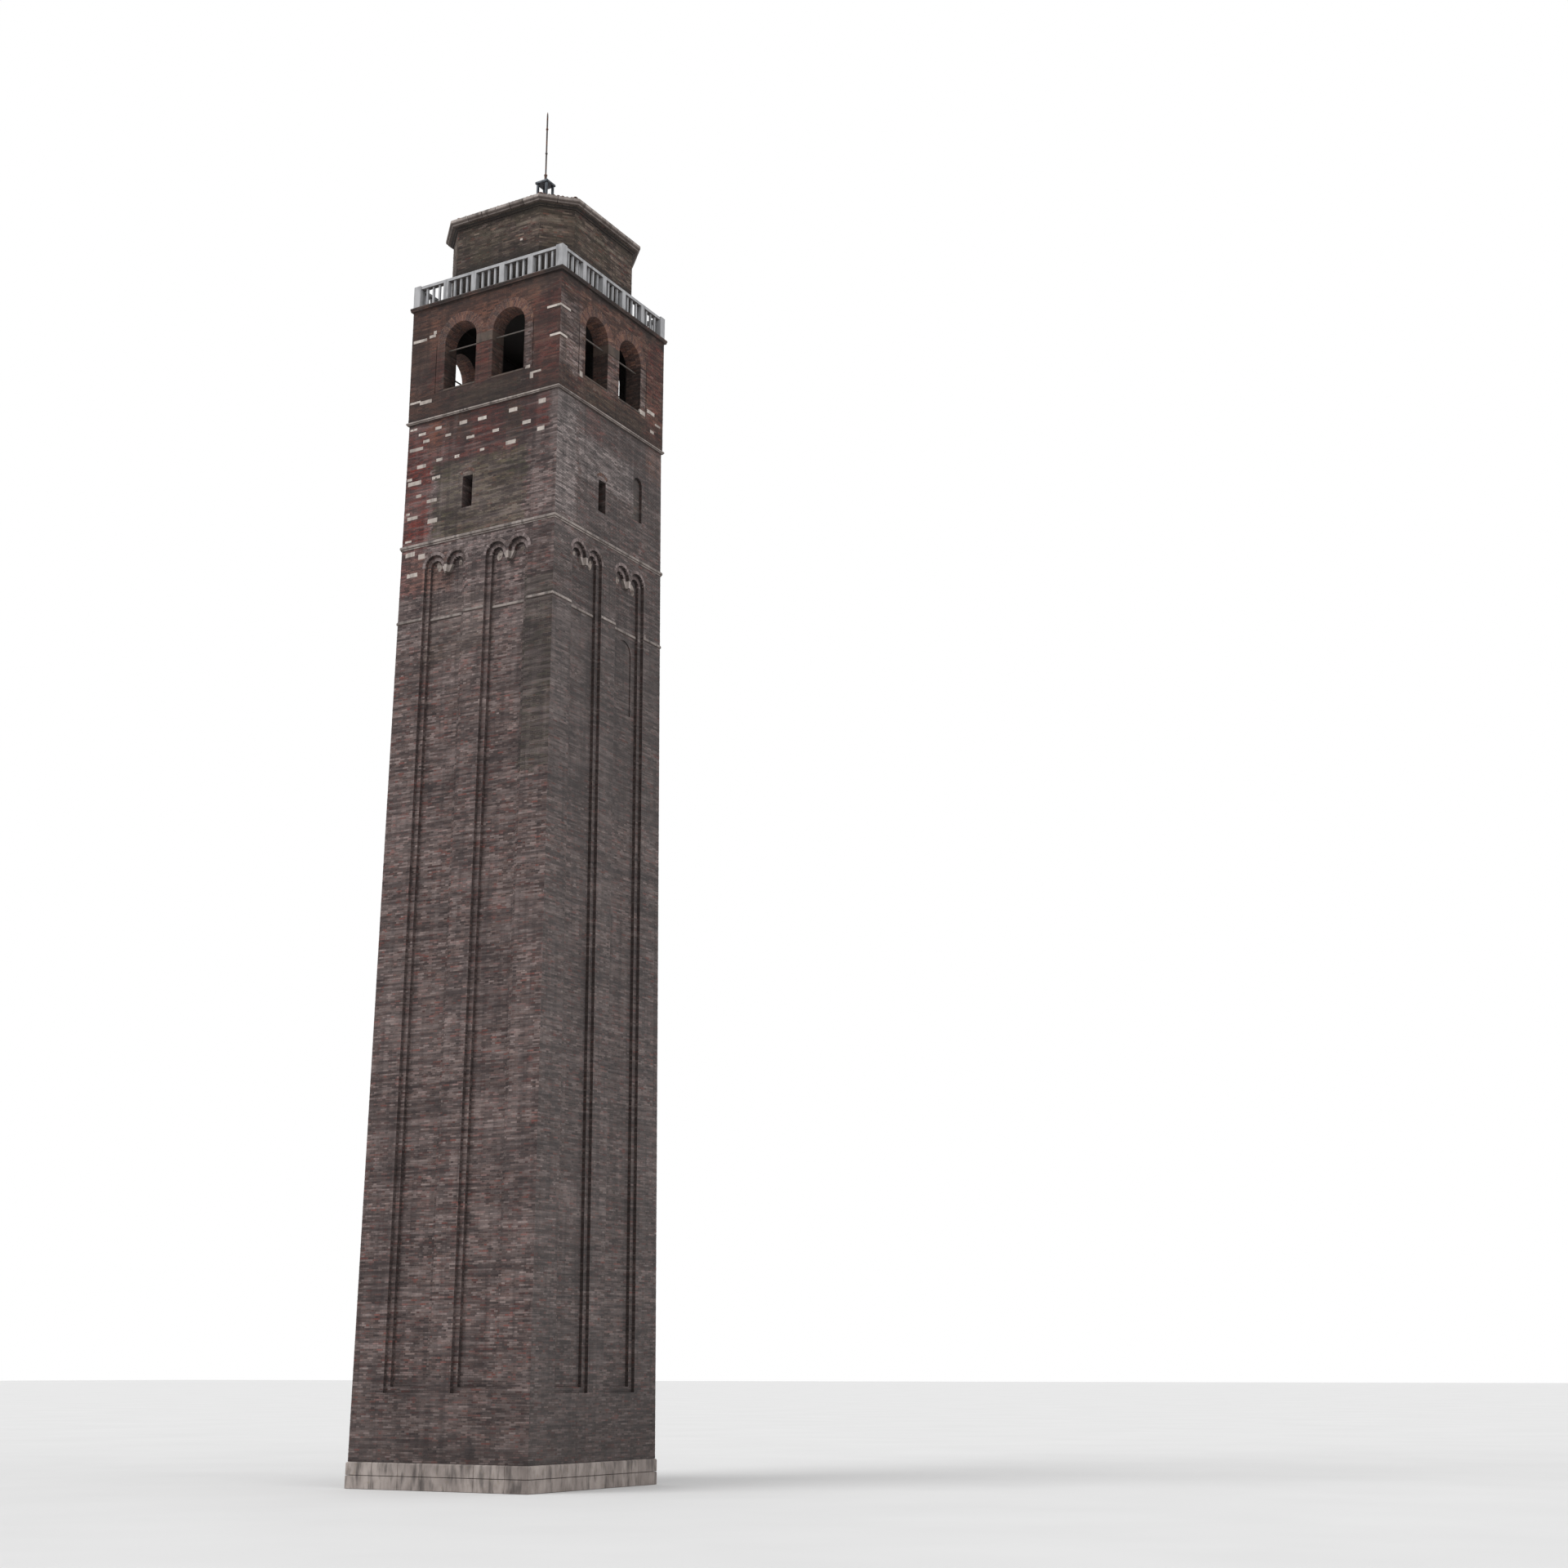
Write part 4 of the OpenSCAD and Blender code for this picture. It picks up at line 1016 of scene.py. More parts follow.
def brick_unit(taper=1.0):
    """A brick one metre a side, or an arch brick whose lower end is narrower."""
    bm = bmesh.new()
    bmesh.ops.create_cube(bm, size=1.0)
    for v in bm.verts:
        if v.co.z < 0:
            v.co.x *= taper
    return mesh_from(bm, "brick_unit")


def tile_unit():
    """A tapered half-round cover tile, one metre a side: wide at its lower end, its hollow down."""
    bm = bmesh.new()
    steps = 6
    rings = []
    for y, wide in ((-0.5, 0.5), (0.5, 0.4)):
        for thick in (0.0, 0.07):
            radius = wide - thick
            arc = [math.pi * i / steps for i in range(steps + 1)]
            rings.append([bm.verts.new((radius * math.cos(a), y, radius * math.sin(a)))
                          for a in arc])
    low_out, low_in, high_out, high_in = rings
    for i in range(steps):
        bm.faces.new((low_out[i], low_out[i + 1], high_out[i + 1], high_out[i]))
        bm.faces.new((low_in[i], high_in[i], high_in[i + 1], low_in[i + 1]))
        bm.faces.new((low_out[i], low_in[i], low_in[i + 1], low_out[i + 1]))
        bm.faces.new((high_out[i], high_out[i + 1], high_in[i + 1], high_in[i]))
    for i in (0, steps):
        bm.faces.new((low_out[i], high_out[i], high_in[i], low_in[i]))
    bmesh.ops.recalc_face_normals(bm, faces=bm.faces)
    return mesh_from(bm, "tile_unit")


def nail_unit():
    """A forged nail's domed head, one metre a side, facing along its Z."""
    bm = bmesh.new()
    bmesh.ops.create_uvsphere(bm, u_segments=8, v_segments=6, radius=0.5)
    return mesh_from(bm, "nail_unit")


def worn(context, bm, name, edge, wear):
    """Wears a mesh: uneven faces, edges rounded to a width in metres, nothing beyond the frame."""
    # Without a seed the noise would be another one in each run
    noise.seed_set(context.scene.tower_sizes.seed)
    for vert in bm.verts:
        moved = vert.co + noise.noise_vector(vert.co * WEAR_WAVES) * wear
        vert.co = [min(max(place, low), high) for place, low, high in zip(moved, *CAD_BOUNDS)]
    holder = new_object(context, name + "_sharp", mesh_from(bm, name))
    bevel = holder.modifiers.new("Worn edge", "BEVEL")
    bevel.width = edge
    bevel.segments = 2
    bevel.limit_method = "ANGLE"
    bevel.angle_limit = WORN_ANGLE
    return plain_mesh(context, holder)


def set_tone(bm, verts, chance):
    """Draws one tone for all the points of a block."""
    tones = bm.verts.layers.float_vector.get("tone")
    tone = (chance.uniform(0.05, 1), chance.random(), chance.random())
    for vert in verts:
        vert[tones] = tone


def blocks(context, name, boxes, build, slot, *nodes, edge=0.004, wear=0.002):
    """Separate cut blocks as one piece. A box is its middle, its angle and its size along, through
    and up."""
    chance = random.Random(BLOCK_SEED)
    bm = bmesh.new()
    bm.verts.layers.float_vector.new("tone")
    for middle, angle, size in boxes:
        start = len(bm.verts)
        made = bmesh.ops.create_cube(bm, size=1.0)["verts"]
        long_axis = size.index(max(size))
        edges = dict.fromkeys(e for v in made for e in v.link_edges
                              if abs(e.verts[0].co[long_axis] - e.verts[1].co[long_axis]) > 0.5)
        cuts = min(MAX_CUTS, int(size[long_axis] / CUT_LENGTH))
        if cuts:
            bmesh.ops.subdivide_edges(bm, edges=list(edges), cuts=cuts, use_grid_fill=True)
        bm.verts.ensure_lookup_table()
        made = bm.verts[start:]
        set_tone(bm, made, chance)
        for vert in made:
            x, y, z = vert.co
            vert.co = Vector(middle) + spot(angle, x * size[0], -y * size[1], z * size[2])
    make(context, name, worn(context, bm, name, edge, wear), build, slot, *nodes)


def worn_node(context, name, node, build, slot, edge=0.004, wear=0.0015):
    """The shape of a frame node with uneven faces and rounded edges, in its place."""
    bm = bmesh.new()
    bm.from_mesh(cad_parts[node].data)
    bmesh.ops.remove_doubles(bm, verts=bm.verts, dist=SAME_PLACE)
    bmesh.ops.dissolve_limit(bm, angle_limit=FLAT_ANGLE, verts=bm.verts, edges=bm.edges)
    long_edges = [e for e in bm.edges if e.calc_length() > LONG_EDGE]
    bmesh.ops.subdivide_edges(bm, edges=long_edges, cuts=3)
    layers = bm.verts.layers.float_vector
    for name_of_layer in list(layers.keys()):
        layers.remove(layers[name_of_layer])
    make(context, name, worn(context, bm, name, edge, wear), build, slot, node)


def moulding(context, name, sides, profile, build, slot, *nodes, length=0.45, edge=0.003,
             gap=0.004, seed=2):
    """Stone blocks of one profile round the tower, with open joints and mitred corners. A side is
    (angle, reach, half length, mitre, gaps). The profile is a list of (out of the wall, height)."""
    chance = random.Random(seed)
    bm = bmesh.new()
    bm.verts.layers.float_vector.new("tone")
    for angle, reach, half, mitre, gaps in sides:
        for left, right in minus([(-half, half)], gaps):
            count = max(1, round((right - left) / length))
            cuts = [left + (right - left) * i / count for i in range(count + 1)]
            cuts[1:-1] = [c + chance.uniform(-UNEVEN, UNEVEN) * length for c in cuts[1:-1]]
            for a, b in zip(cuts, cuts[1:]):
                shift = chance.uniform(-OUT_OF_LINE, OUT_OF_LINE)
                sections = []
                for u, inward in ((a, 1), (b, -1)):
                    corner = abs(abs(u) - half) < 1e-6
                    ring = []
                    for outward, z in profile:
                        cut = math.copysign(mitre, u) * outward if corner else inward * gap / 2
                        place = spot(angle, u + cut, reach + outward + shift, z)
                        ring.append(bm.verts.new(place))
                    sections.append(ring)
                first, second = sections
                faces = [bm.faces.new(first), bm.faces.new(second)]
                for i in range(len(profile)):
                    j = (i + 1) % len(profile)
                    faces.append(bm.faces.new((first[i], first[j], second[j], second[i])))
                bmesh.ops.recalc_face_normals(bm, faces=faces)
                set_tone(bm, first + second, chance)
    make(context, name, worn(context, bm, name, edge, 0.0012), build, slot, *nodes)


def boards(node, count, angle):
    """Boards that fill the box of a frame node, side by side along X."""
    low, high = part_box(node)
    width, middle = (high.x - low.x) / count, (low + high) / 2
    size = (width - BOARD_GAP, high.y - low.y, high.z - low.z)
    return [((low.x + (i + 0.5) * width, middle.y, middle.z), angle, size) for i in range(count)]


class TOWER_OT_plain_masonry(bpy.types.Operator):
    """Give the masonry that stays as it is in the frame its finish"""

    bl_idname = "tower.plain_masonry"
    bl_label = "Wall finishes"

    def execute(self, context):
        """Dresses each node by what its name starts with. The rest is stone."""
        groups = {
            shaft_brick: ("lower_wall_", "upper_wall_", "door_piers"),
            bell_brick: ("belfry_parapets", "corner_piers", "middle_piers", "arch_wall_"),
            drum_brick: ("drum_walls", "drum_corner_walls"),
            clay_tile: ("drum_roof",),
            sooty_stone: ("terrace_slab",),
        }
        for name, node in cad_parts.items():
            builds = (build for build, starts in groups.items() if name.startswith(starts))
            node.data.materials.clear()
            node.data.materials.append(finish(next(builds, weathered_stone), context))
        return {"FINISHED"}


class TOWER_OT_shaft(bpy.types.Operator):
    """Lay the shaft's brickwork, with its blind bays and their small arches"""

    bl_idname = "tower.shaft"
    bl_label = "Shaft brickwork"

    def execute(self, context):
        """Lays the courses, corners and arches, and the plaster that still hangs on."""
        sizes = context.scene.tower_sizes
        arcade, storey, lower = (Units(sizes.seed + number) for number in range(3))
        for face, angle in FACES.items():
            self.lay_lower(sizes, lower, angle)
            self.lay_arcade(sizes, arcade, angle)
            self.lay_storey(sizes, storey, angle, face == "right")
        lay(context, "lower_shaft_bricks", lower, brick_unit(), shaft_brick, "shaft_brick")
        lay(context, "arcade_bricks", arcade, brick_unit(), shaft_brick, "shaft_brick")
        lay(context, "upper_storey_bricks", storey, brick_unit(), shaft_brick, "upper_brick")
        self.lay_arches(context, sizes)
        self.set_plaster(context)
        return {"FINISHED"}

    def lay_lower(self, sizes, units, angle):
        """Corners in full, and the odd brick that stands proud of the worn face."""
        def spans(row, bottom):
            cuts = bay_ranges() if bottom > BAY_FOOT else []
            if angle == FACES["back"] and bottom < DOOR_FREE_TOP:
                cuts.append((-DOOR_FREE_HALF, DOOR_FREE_HALF))
            return minus(wall_between(sizes, row, shaft_half(bottom)), cuts)

        heights = (PLINTH_TOP, LOW_STRING)
        units.quoins(sizes, angle, shaft_half, 1, shaft_half, *heights)
        units.bond(sizes, angle, shaft_half, *heights, spans, chance=PROUD_SHARE)

    def lay_arcade(self, sizes, units, angle):
        """Piers between the bays, the spandrels over the small arches and the backs of the bays."""
        def piers(row, bottom):
            return minus(wall_between(sizes, row, shaft_half(bottom)), bay_ranges())

        def spandrels(row, bottom):
            radius = SMALL_ARCH_R + sizes.header + sizes.joint
            cuts = [cut for middle in small_arches()
                    for cut in arch_cut(middle, BAY_SPRING, radius, bottom)]
            return minus(wall_between(sizes, row, shaft_half(bottom)), cuts)

        def backs(row, bottom):
            return [(low + BAY_STEP, high - BAY_STEP) for low, high in bay_ranges()]

        def back_reach(z):
            return shaft_half(z) - 2 * BAY_DEPTH

        units.quoins(sizes, angle, shaft_half, 1, shaft_half, LOW_STRING_HIGH, MID_STRING_LOW)
        units.bond(sizes, angle, shaft_half, LOW_STRING_HIGH, BAY_SPRING, piers)
        units.bond(sizes, angle, shaft_half, BAY_SPRING, MID_STRING_LOW, spandrels)
        units.bond(sizes, angle, back_reach, LOW_STRING_HIGH, BAY_SPRING - LEVEL_PLAY, backs)

    def lay_storey(self, sizes, units, angle, has_niche):
        """The storey under the bell chamber, round its slit and its niche."""
        def spans(row, bottom):
            cuts = []
            if SLIT_FOOT - LEVEL_PLAY < bottom < SLIT_TOP:
                cuts.append((SLIT_MID - SLIT_HALF, SLIT_MID + SLIT_HALF))
            if has_niche and NICHE_FOOT - LEVEL_PLAY < bottom < NICHE_SPRING:
                cuts.append((NICHE_MID - NICHE_HALF, NICHE_MID + NICHE_HALF))
            if has_niche:
                cuts += arch_cut(NICHE_MID, NICHE_SPRING, NICHE_HALF + NICHE_PLAY, bottom)
            return minus(wall_between(sizes, row, shaft_half(bottom)), cuts)

        units.quoins(sizes, angle, shaft_half, 1, shaft_half, MID_STRING_HIGH, SHAFT_TOP)
        units.bond(sizes, angle, shaft_half, MID_STRING_HIGH, SHAFT_TOP, spans)

    def lay_arches(self, context, sizes):
        """Rings of short bricks round the small arches, in both orders, and over the slits."""
        outer, inner, relieving = (Units(sizes.seed + number) for number in range(3))
        reach = shaft_half(BAY_SPRING + 0.1)
        inner_r = SMALL_ARCH_R - BAY_STEP
        for angle in FACES.values():
            for middle in small_arches():
                bay = math.copysign(BAY_MID, middle)
                turn = 1 if middle > bay else -1
                outer.ring(sizes, angle, (middle, BAY_SPRING), reach, SMALL_ARCH_R,
                           SMALL_ARCH_R + sizes.header, SMALL_ARCH_DEPTH,
                           keep=lambda u: (u - bay) * turn > ARCH_MEETING)
                inner.ring(sizes, angle, (middle, BAY_SPRING), reach - BAY_DEPTH, inner_r,
                           inner_r + sizes.header, SMALL_ARCH_DEPTH)
            relieving.ring(sizes, angle, (SLIT_MID, SLIT_TOP - RELIEVING_DROP),
                           shaft_half(SLIT_TOP) + RELIEVING_OUT, RELIEVING_R,
                           RELIEVING_R + sizes.header, RELIEVING_DEPTH, ends=RELIEVING_ENDS)
        taper = SMALL_ARCH_R / (SMALL_ARCH_R + sizes.header)
        lay(context, "blind_arch_rings", outer, brick_unit(taper), pale_arch_brick, "shaft_brick")
        lay(context, "inner_arch_rings", inner, brick_unit(0.68), pale_arch_brick, "shaft_brick")
        lay(context, "relieving_arches", relieving, brick_unit(0.74), arch_brick, "upper_brick")

    def set_plaster(self, context):
        """Patches of plaster that still hang on under the small arches."""
        bm = bmesh.new()
        for number, (face, u, z, width, height) in enumerate(PLASTER):
            reach = shaft_half(z) - 2 * BAY_DEPTH
            chance = random.Random(number)
            outline = []
            for i in range(PLASTER_CORNERS):
                a = 2 * math.pi * i / PLASTER_CORNERS
                share = chance.uniform(0.82, 1.0) * (0.85 + 0.15 * math.sin(2 * a + number))
                outline.append((u + width / 2 * share * math.cos(a),
                                z + height / 2 * share * math.sin(a)))
            front, rear = ([bm.verts.new(spot(FACES[face], x, reach + out, h)) for x, h in outline]
                           for out in PLASTER_FACES)
            faces = [bm.faces.new(front), bm.faces.new(rear)]
            for i in range(PLASTER_CORNERS):
                faces.append(bm.faces.new((front[i - 1], front[i], rear[i], rear[i - 1])))
            bmesh.ops.recalc_face_normals(bm, faces=faces)
        mesh = worn(context, bm, "plaster_patches", 0.0015, 0.001)
        make(context, "plaster_patches", mesh, lime_plaster, "shaft_brick")


class TOWER_OT_pale_stones(bpy.types.Operator):
    """Set the pale stones that are let into the brickwork"""

    bl_idname = "tower.pale_stones"
    bl_label = "Pale stones"

    def execute(self, context):
        """Sets the stones of the front and the right face, and scatters others on the rest."""
        chance = random.Random(context.scene.tower_sizes.seed)
        places = [("front", *stone) for stone in FRONT_STONES]
        places += [("right", *stone) for stone in RIGHT_STONES]
        for face in ("back", "left"):
            for _ in range(SCATTERED):
                places.append((face, *(chance.uniform(*ends) for ends in SCATTERED_ENDS)))
        boxes = []
        for face, u, z, width, height in places:
            wall = BELL_HALF if z > SHAFT_TOP else shaft_half(z)
            middle = spot(FACES[face], u, wall + STONE_OUT - STONE_DEPTH / 2, z)
            boxes.append((middle, FACES[face], (width, STONE_DEPTH, height)))
        blocks(context, "pale_stones", boxes, clean_stone, "weathered_stone",
               edge=0.006, wear=0.004)
        return {"FINISHED"}


class TOWER_OT_bell_chamber(bpy.types.Operator):
    """Lay the bell chamber's brickwork, its openings and their arches"""

    bl_idname = "tower.bell_chamber"
    bl_label = "Bell chamber brickwork"

    def execute(self, context):
        """Lays parapets, piers, jambs, arch walls and arches."""
        sizes = context.scene.tower_sizes
        walls, jambs = Units(sizes.seed + 3), Units(sizes.seed + 4)
        for angle in FACES.values():
            self.lay_walls(sizes, walls, angle)
            self.lay_jambs(sizes, jambs, angle)
        lay(context, "bell_chamber_bricks", walls, brick_unit(), bell_brick, "belfry_brick")
        lay(context, "window_jamb_bricks", jambs, brick_unit(), bell_brick, "belfry_brick")
        self.lay_arches(context, sizes)
        return {"FINISHED"}

    def lay_walls(self, sizes, units, angle):
        """The outer faces, from the parapet to the terrace."""
        def reach(z):
            return BELL_HALF

        def parapet(row, bottom):
            return wall_between(sizes, row, BELL_HALF)

        def piers(row, bottom):
            half = WINDOW_HALF + quoin_lengths(sizes, row)[0] + sizes.joint
            cuts = [(side * WINDOW_MID - half, side * WINDOW_MID + half) for side in SIDES]
            for side in SIDES:
                middle = side * STRAIGHT_JOINT
                cuts.append((middle - STRAIGHT_JOINT_HALF, middle + STRAIGHT_JOINT_HALF))
            if bottom > IMPOST - LEVEL_PLAY:
                cuts.append((WINDOW_HALF - WINDOW_MID, WINDOW_MID - WINDOW_HALF))
            return minus(wall_between(sizes, row, BELL_HALF), cuts)

        def arches(row, bottom):
            radius = WINDOW_HALF + sizes.stretcher + sizes.header + 2 * sizes.joint
            cuts = [cut for side in SIDES
                    for cut in arch_cut(side * WINDOW_MID, SPRING, radius, bottom)]
            cracked = (CRACK_TOP - bottom) / (CRACK_TOP - CRACK_FOOT)
            if angle == FACES["right"] and 0 < cracked < 1:
                run = CRACK_RUN * cracked
                cuts.append((CRACK_LEFT + run, CRACK_RIGHT + run))
            return minus(wall_between(sizes, row, BELL_HALF), cuts)

        units.quoins(sizes, angle, reach, 1, reach, PARAPET_LOW, BELL_TOP)
        units.bond(sizes, angle, reach, PARAPET_LOW, PARAPET_HIGH, parapet)
        units.bond(sizes, angle, reach, PARAPET_HIGH, SPRING, piers)
        units.bond(sizes, angle, reach, SPRING, BELL_TOP, arches)

    def lay_jambs(self, sizes, units, angle):
        """The corners of the openings, and the jambs behind them."""
        for side, end in ((side, end) for side in SIDES for end in SIDES):
            edge = side * WINDOW_MID + end * WINDOW_HALF
            top = IMPOST if side * end < 0 else SPRING
            units.quoins(sizes, angle, lambda z: edge, -end, lambda z: BELL_HALF, SILL_TOP, top)

            def spans(row, bottom):
                depth = quoin_lengths(sizes, row)[1] + sizes.joint
                across = (BELL_INNER, BELL_HALF + RELIEF - depth)
                return [across] if end > 0 else [(-across[1], -across[0])]

            # The jamb faces the middle of its opening
            jamb = angle - end * math.pi / 2
            units.bond(sizes, jamb, lambda z: -end * edge, SILL_TOP, top, spans)

    def lay_arches(self, context, sizes):
        """Two rings of bricks on end: one as thick as the wall, and a thin one over it."""
        first, second = Units(sizes.seed + 5), Units(sizes.seed + 6)
        outer = WINDOW_HALF + sizes.stretcher
        hood = outer + sizes.joint
        thick = (BELL_HALF - BELL_INNER) / ARCH_LEAVES
        for angle in FACES.values():
            for side in SIDES:
                centre = (side * WINDOW_MID, SPRING)
                for leaf in range(ARCH_LEAVES):
                    first.ring(sizes, angle, centre, BELL_HALF - leaf * thick,
                               WINDOW_HALF - RELIEF, outer, thick - sizes.joint)
                second.ring(sizes, angle, centre, BELL_HALF, hood, hood + sizes.header, HOOD_DEPTH,
                            keep=lambda u: u * side > ARCH_MEETING)
        unit = brick_unit(WINDOW_HALF / outer)
        lay(context, "window_arches", first, unit, arch_brick, "belfry_brick")
        lay(context, "window_arch_hoods", second, brick_unit(0.9), arch_brick, "belfry_brick")


class TOWER_OT_stonework(bpy.types.Operator):
    """Cut the plinth, the string courses, the sills and the imposts"""

    bl_idname = "tower.stonework"
    bl_label = "String courses and sills"

    def execute(self, context):
        """Builds each course from single blocks with worn edges."""
        length = context.scene.tower_sizes.stone_length
        middle = PLINTH_TOP / 2
        self.cut_plinth(context, "plinth_lower_course", 0.0, middle, 0.006, length)
        self.cut_plinth(context, "plinth_upper_course", middle, PLINTH_TOP, 0.02, length)
        self.cut_string(context, "middle_string_course", length)
        self.cut_string(context, "belfry_string_course", length)
        self.cut_low_string(context, length)
        for name, node, build, edge in (
            ("window_sill_stones", "window_sills", sooty_stone, 0.006),
            ("impost_stones", "impost_blocks", sooty_stone, 0.007),
            ("corbel_stones", "arch_corbels", weathered_stone, 0.004),
            ("doorway_stones", "door_frame", weathered_stone, 0.006),
            ("threshold_stone", "door_threshold", weathered_stone, 0.006),
        ):
            worn_node(context, name, node, build, "weathered_stone", edge=edge)
        return {"FINISHED"}

    def cut_plinth(self, context, name, low, high, slope, length):
        """One of the plinth's two courses, with a sloped upper edge, open at the doorway."""
        low, high = low + 0.004, high - 0.002
        profile = [(-0.3, low), (-0.004, low), (-0.004, high - slope), (-0.004 - slope, high),
                   (-0.3, high)]
        sides = square_sides(PLINTH_HALF, [(-DOOR_FRAME_HALF, DOOR_FRAME_HALF)])
        moulding(context, name, sides, profile, weathered_stone, "weathered_stone", "plinth",
                 length=1.3 * length, edge=0.008, seed=19)

    def cut_string(self, context, node, length):
        """A string course with a rounded nose over a small fillet."""
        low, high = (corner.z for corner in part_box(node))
        half = BELL_HALF if node == "belfry_string_course" else shaft_half(low)
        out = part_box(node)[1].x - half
        rise = high - low
        profile = [(-0.12, low), (0.5 * out, low), (0.6 * out, low + 0.25 * rise),
                   (out, low + 0.4 * rise), (out, low + 0.8 * rise), (0.75 * out, high - 0.002),
                   (-0.12, high)]
        moulding(context, node + "_stones", square_sides(half), profile, weathered_stone,
                 "weathered_stone", node, length=length, seed=int(low))

    def cut_low_string(self, context, length):
        """The lowest string course, which also runs along the backs of the blind bays."""
        half = shaft_half(LOW_STRING)
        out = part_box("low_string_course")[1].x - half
        sides = []
        for angle in FACES.values():
            sides.append((angle, half, half, 1.0, bay_ranges()))
            for left, right in bay_ranges():
                gaps = [(-half, left + BAY_STEP), (right - BAY_STEP, half)]
                sides.append((angle, half - 2 * BAY_DEPTH, half, 0.0, gaps))
        low, high = LOW_STRING_LOW, LOW_STRING_HIGH
        profile = [(-0.1, low), (0.6 * out, low), (out, low + 0.012), (out, high - 0.02),
                   (0.5 * out, high), (-0.1, high)]
        moulding(context, "low_string_course_stones", sides, profile, weathered_stone,
                 "weathered_stone", "low_string_course", length=length)


class TOWER_OT_terrace(bpy.types.Operator):
    """Cut the edge of the terrace and its balustrade"""

    bl_idname = "tower.terrace"
    bl_label = "Terrace and balustrade"

    def execute(self, context):
        """Lays the nosing and wears the balustrade."""
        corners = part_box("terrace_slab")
        low, high = (corner.z for corner in corners)
        profile = [(-0.05, low - 0.002), (0.002, low - 0.002), (0.002, low + 0.02),
                   (0.01, low + 0.035), (0.012, high - 0.012), (0.006, high + 0.002),
                   (-0.05, high + 0.002)]
        moulding(context, "terrace_nosing", square_sides(corners[1].x), profile, bell_brick,
                 "belfry_brick", length=BRICK_ON_EDGE, edge=0.002)
        for face in FACES:
            worn_node(context, f"balustrade_{face}_stones", f"balustrade_{face}", balustrade_stone,
                      "balustrade_stone", edge=0.006, wear=0.002)
        worn_node(context, "balustrade_corner_stones", "balustrade_corner_posts", balustrade_stone,
                  "balustrade_stone", edge=0.008, wear=0.003)
        return {"FINISHED"}


class TOWER_OT_drum(bpy.types.Operator):
    """Lay the drum's brickwork and its stone cornice"""

    bl_idname = "tower.drum"
    bl_label = "Drum and cornice"

    def execute(self, context):
        """Lays the eight faces and cuts the cornice in two courses."""
        sizes = context.scene.tower_sizes
        units = Units(sizes.seed + 7)
        side = DRUM_HALF - DRUM_LEG
        faces = ((DRUM_HALF, side), ((DRUM_HALF + side) / math.sqrt(2), DRUM_LEG / math.sqrt(2)))
        sides = []
        for number in range(8):
            angle = number * math.pi / 4
            reach, half = faces[number % 2]
            units.bond(sizes, angle, lambda z: reach, TERRACE, DRUM_TOP,
                       lambda row, bottom: [(-half, half)])
            sides.append((angle, reach, half, math.tan(math.pi / 8), ()))
        lay(context, "drum_bricks", units, brick_unit(), drum_brick, "drum_brick")
        across, z, width, height = DRUM_STONE
        middle = spot(0, across, DRUM_HALF - DRUM_STONE_SET, z)
        blocks(context, "drum_pale_stone", [(middle, 0.0, (width, STONE_DEPTH, height))],
               clean_stone, "weathered_stone", edge=0.008, wear=0.004)
        bed = DRUM_TOP + CORNICE_BED
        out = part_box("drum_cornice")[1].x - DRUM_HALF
        lower = [(-0.25, DRUM_TOP), (0.02, DRUM_TOP), (0.03, DRUM_TOP + 0.012),
                 (0.065, bed - 0.02), (0.07, bed - 0.003), (-0.25, bed - 0.003)]
        upper = [(-0.25, bed), (out - 0.045, bed), (out - 0.035, bed + 0.022),
                 (out - 0.008, bed + 0.045), (out, bed + 0.06), (out, bed + 0.105),
                 (out - 0.012, CORNICE_TOP), (-0.25, CORNICE_TOP)]
        moulding(context, "cornice_bed_course", sides, lower, drum_brick, "weathered_stone",
                 "drum_cornice", length=BRICK_ON_EDGE, edge=0.002, seed=4)
        moulding(context, "cornice_top_course", sides, upper, weathered_stone, "weathered_stone",
                 "drum_cornice", length=0.36, edge=0.006, gap=0.012, seed=5)
        return {"FINISHED"}


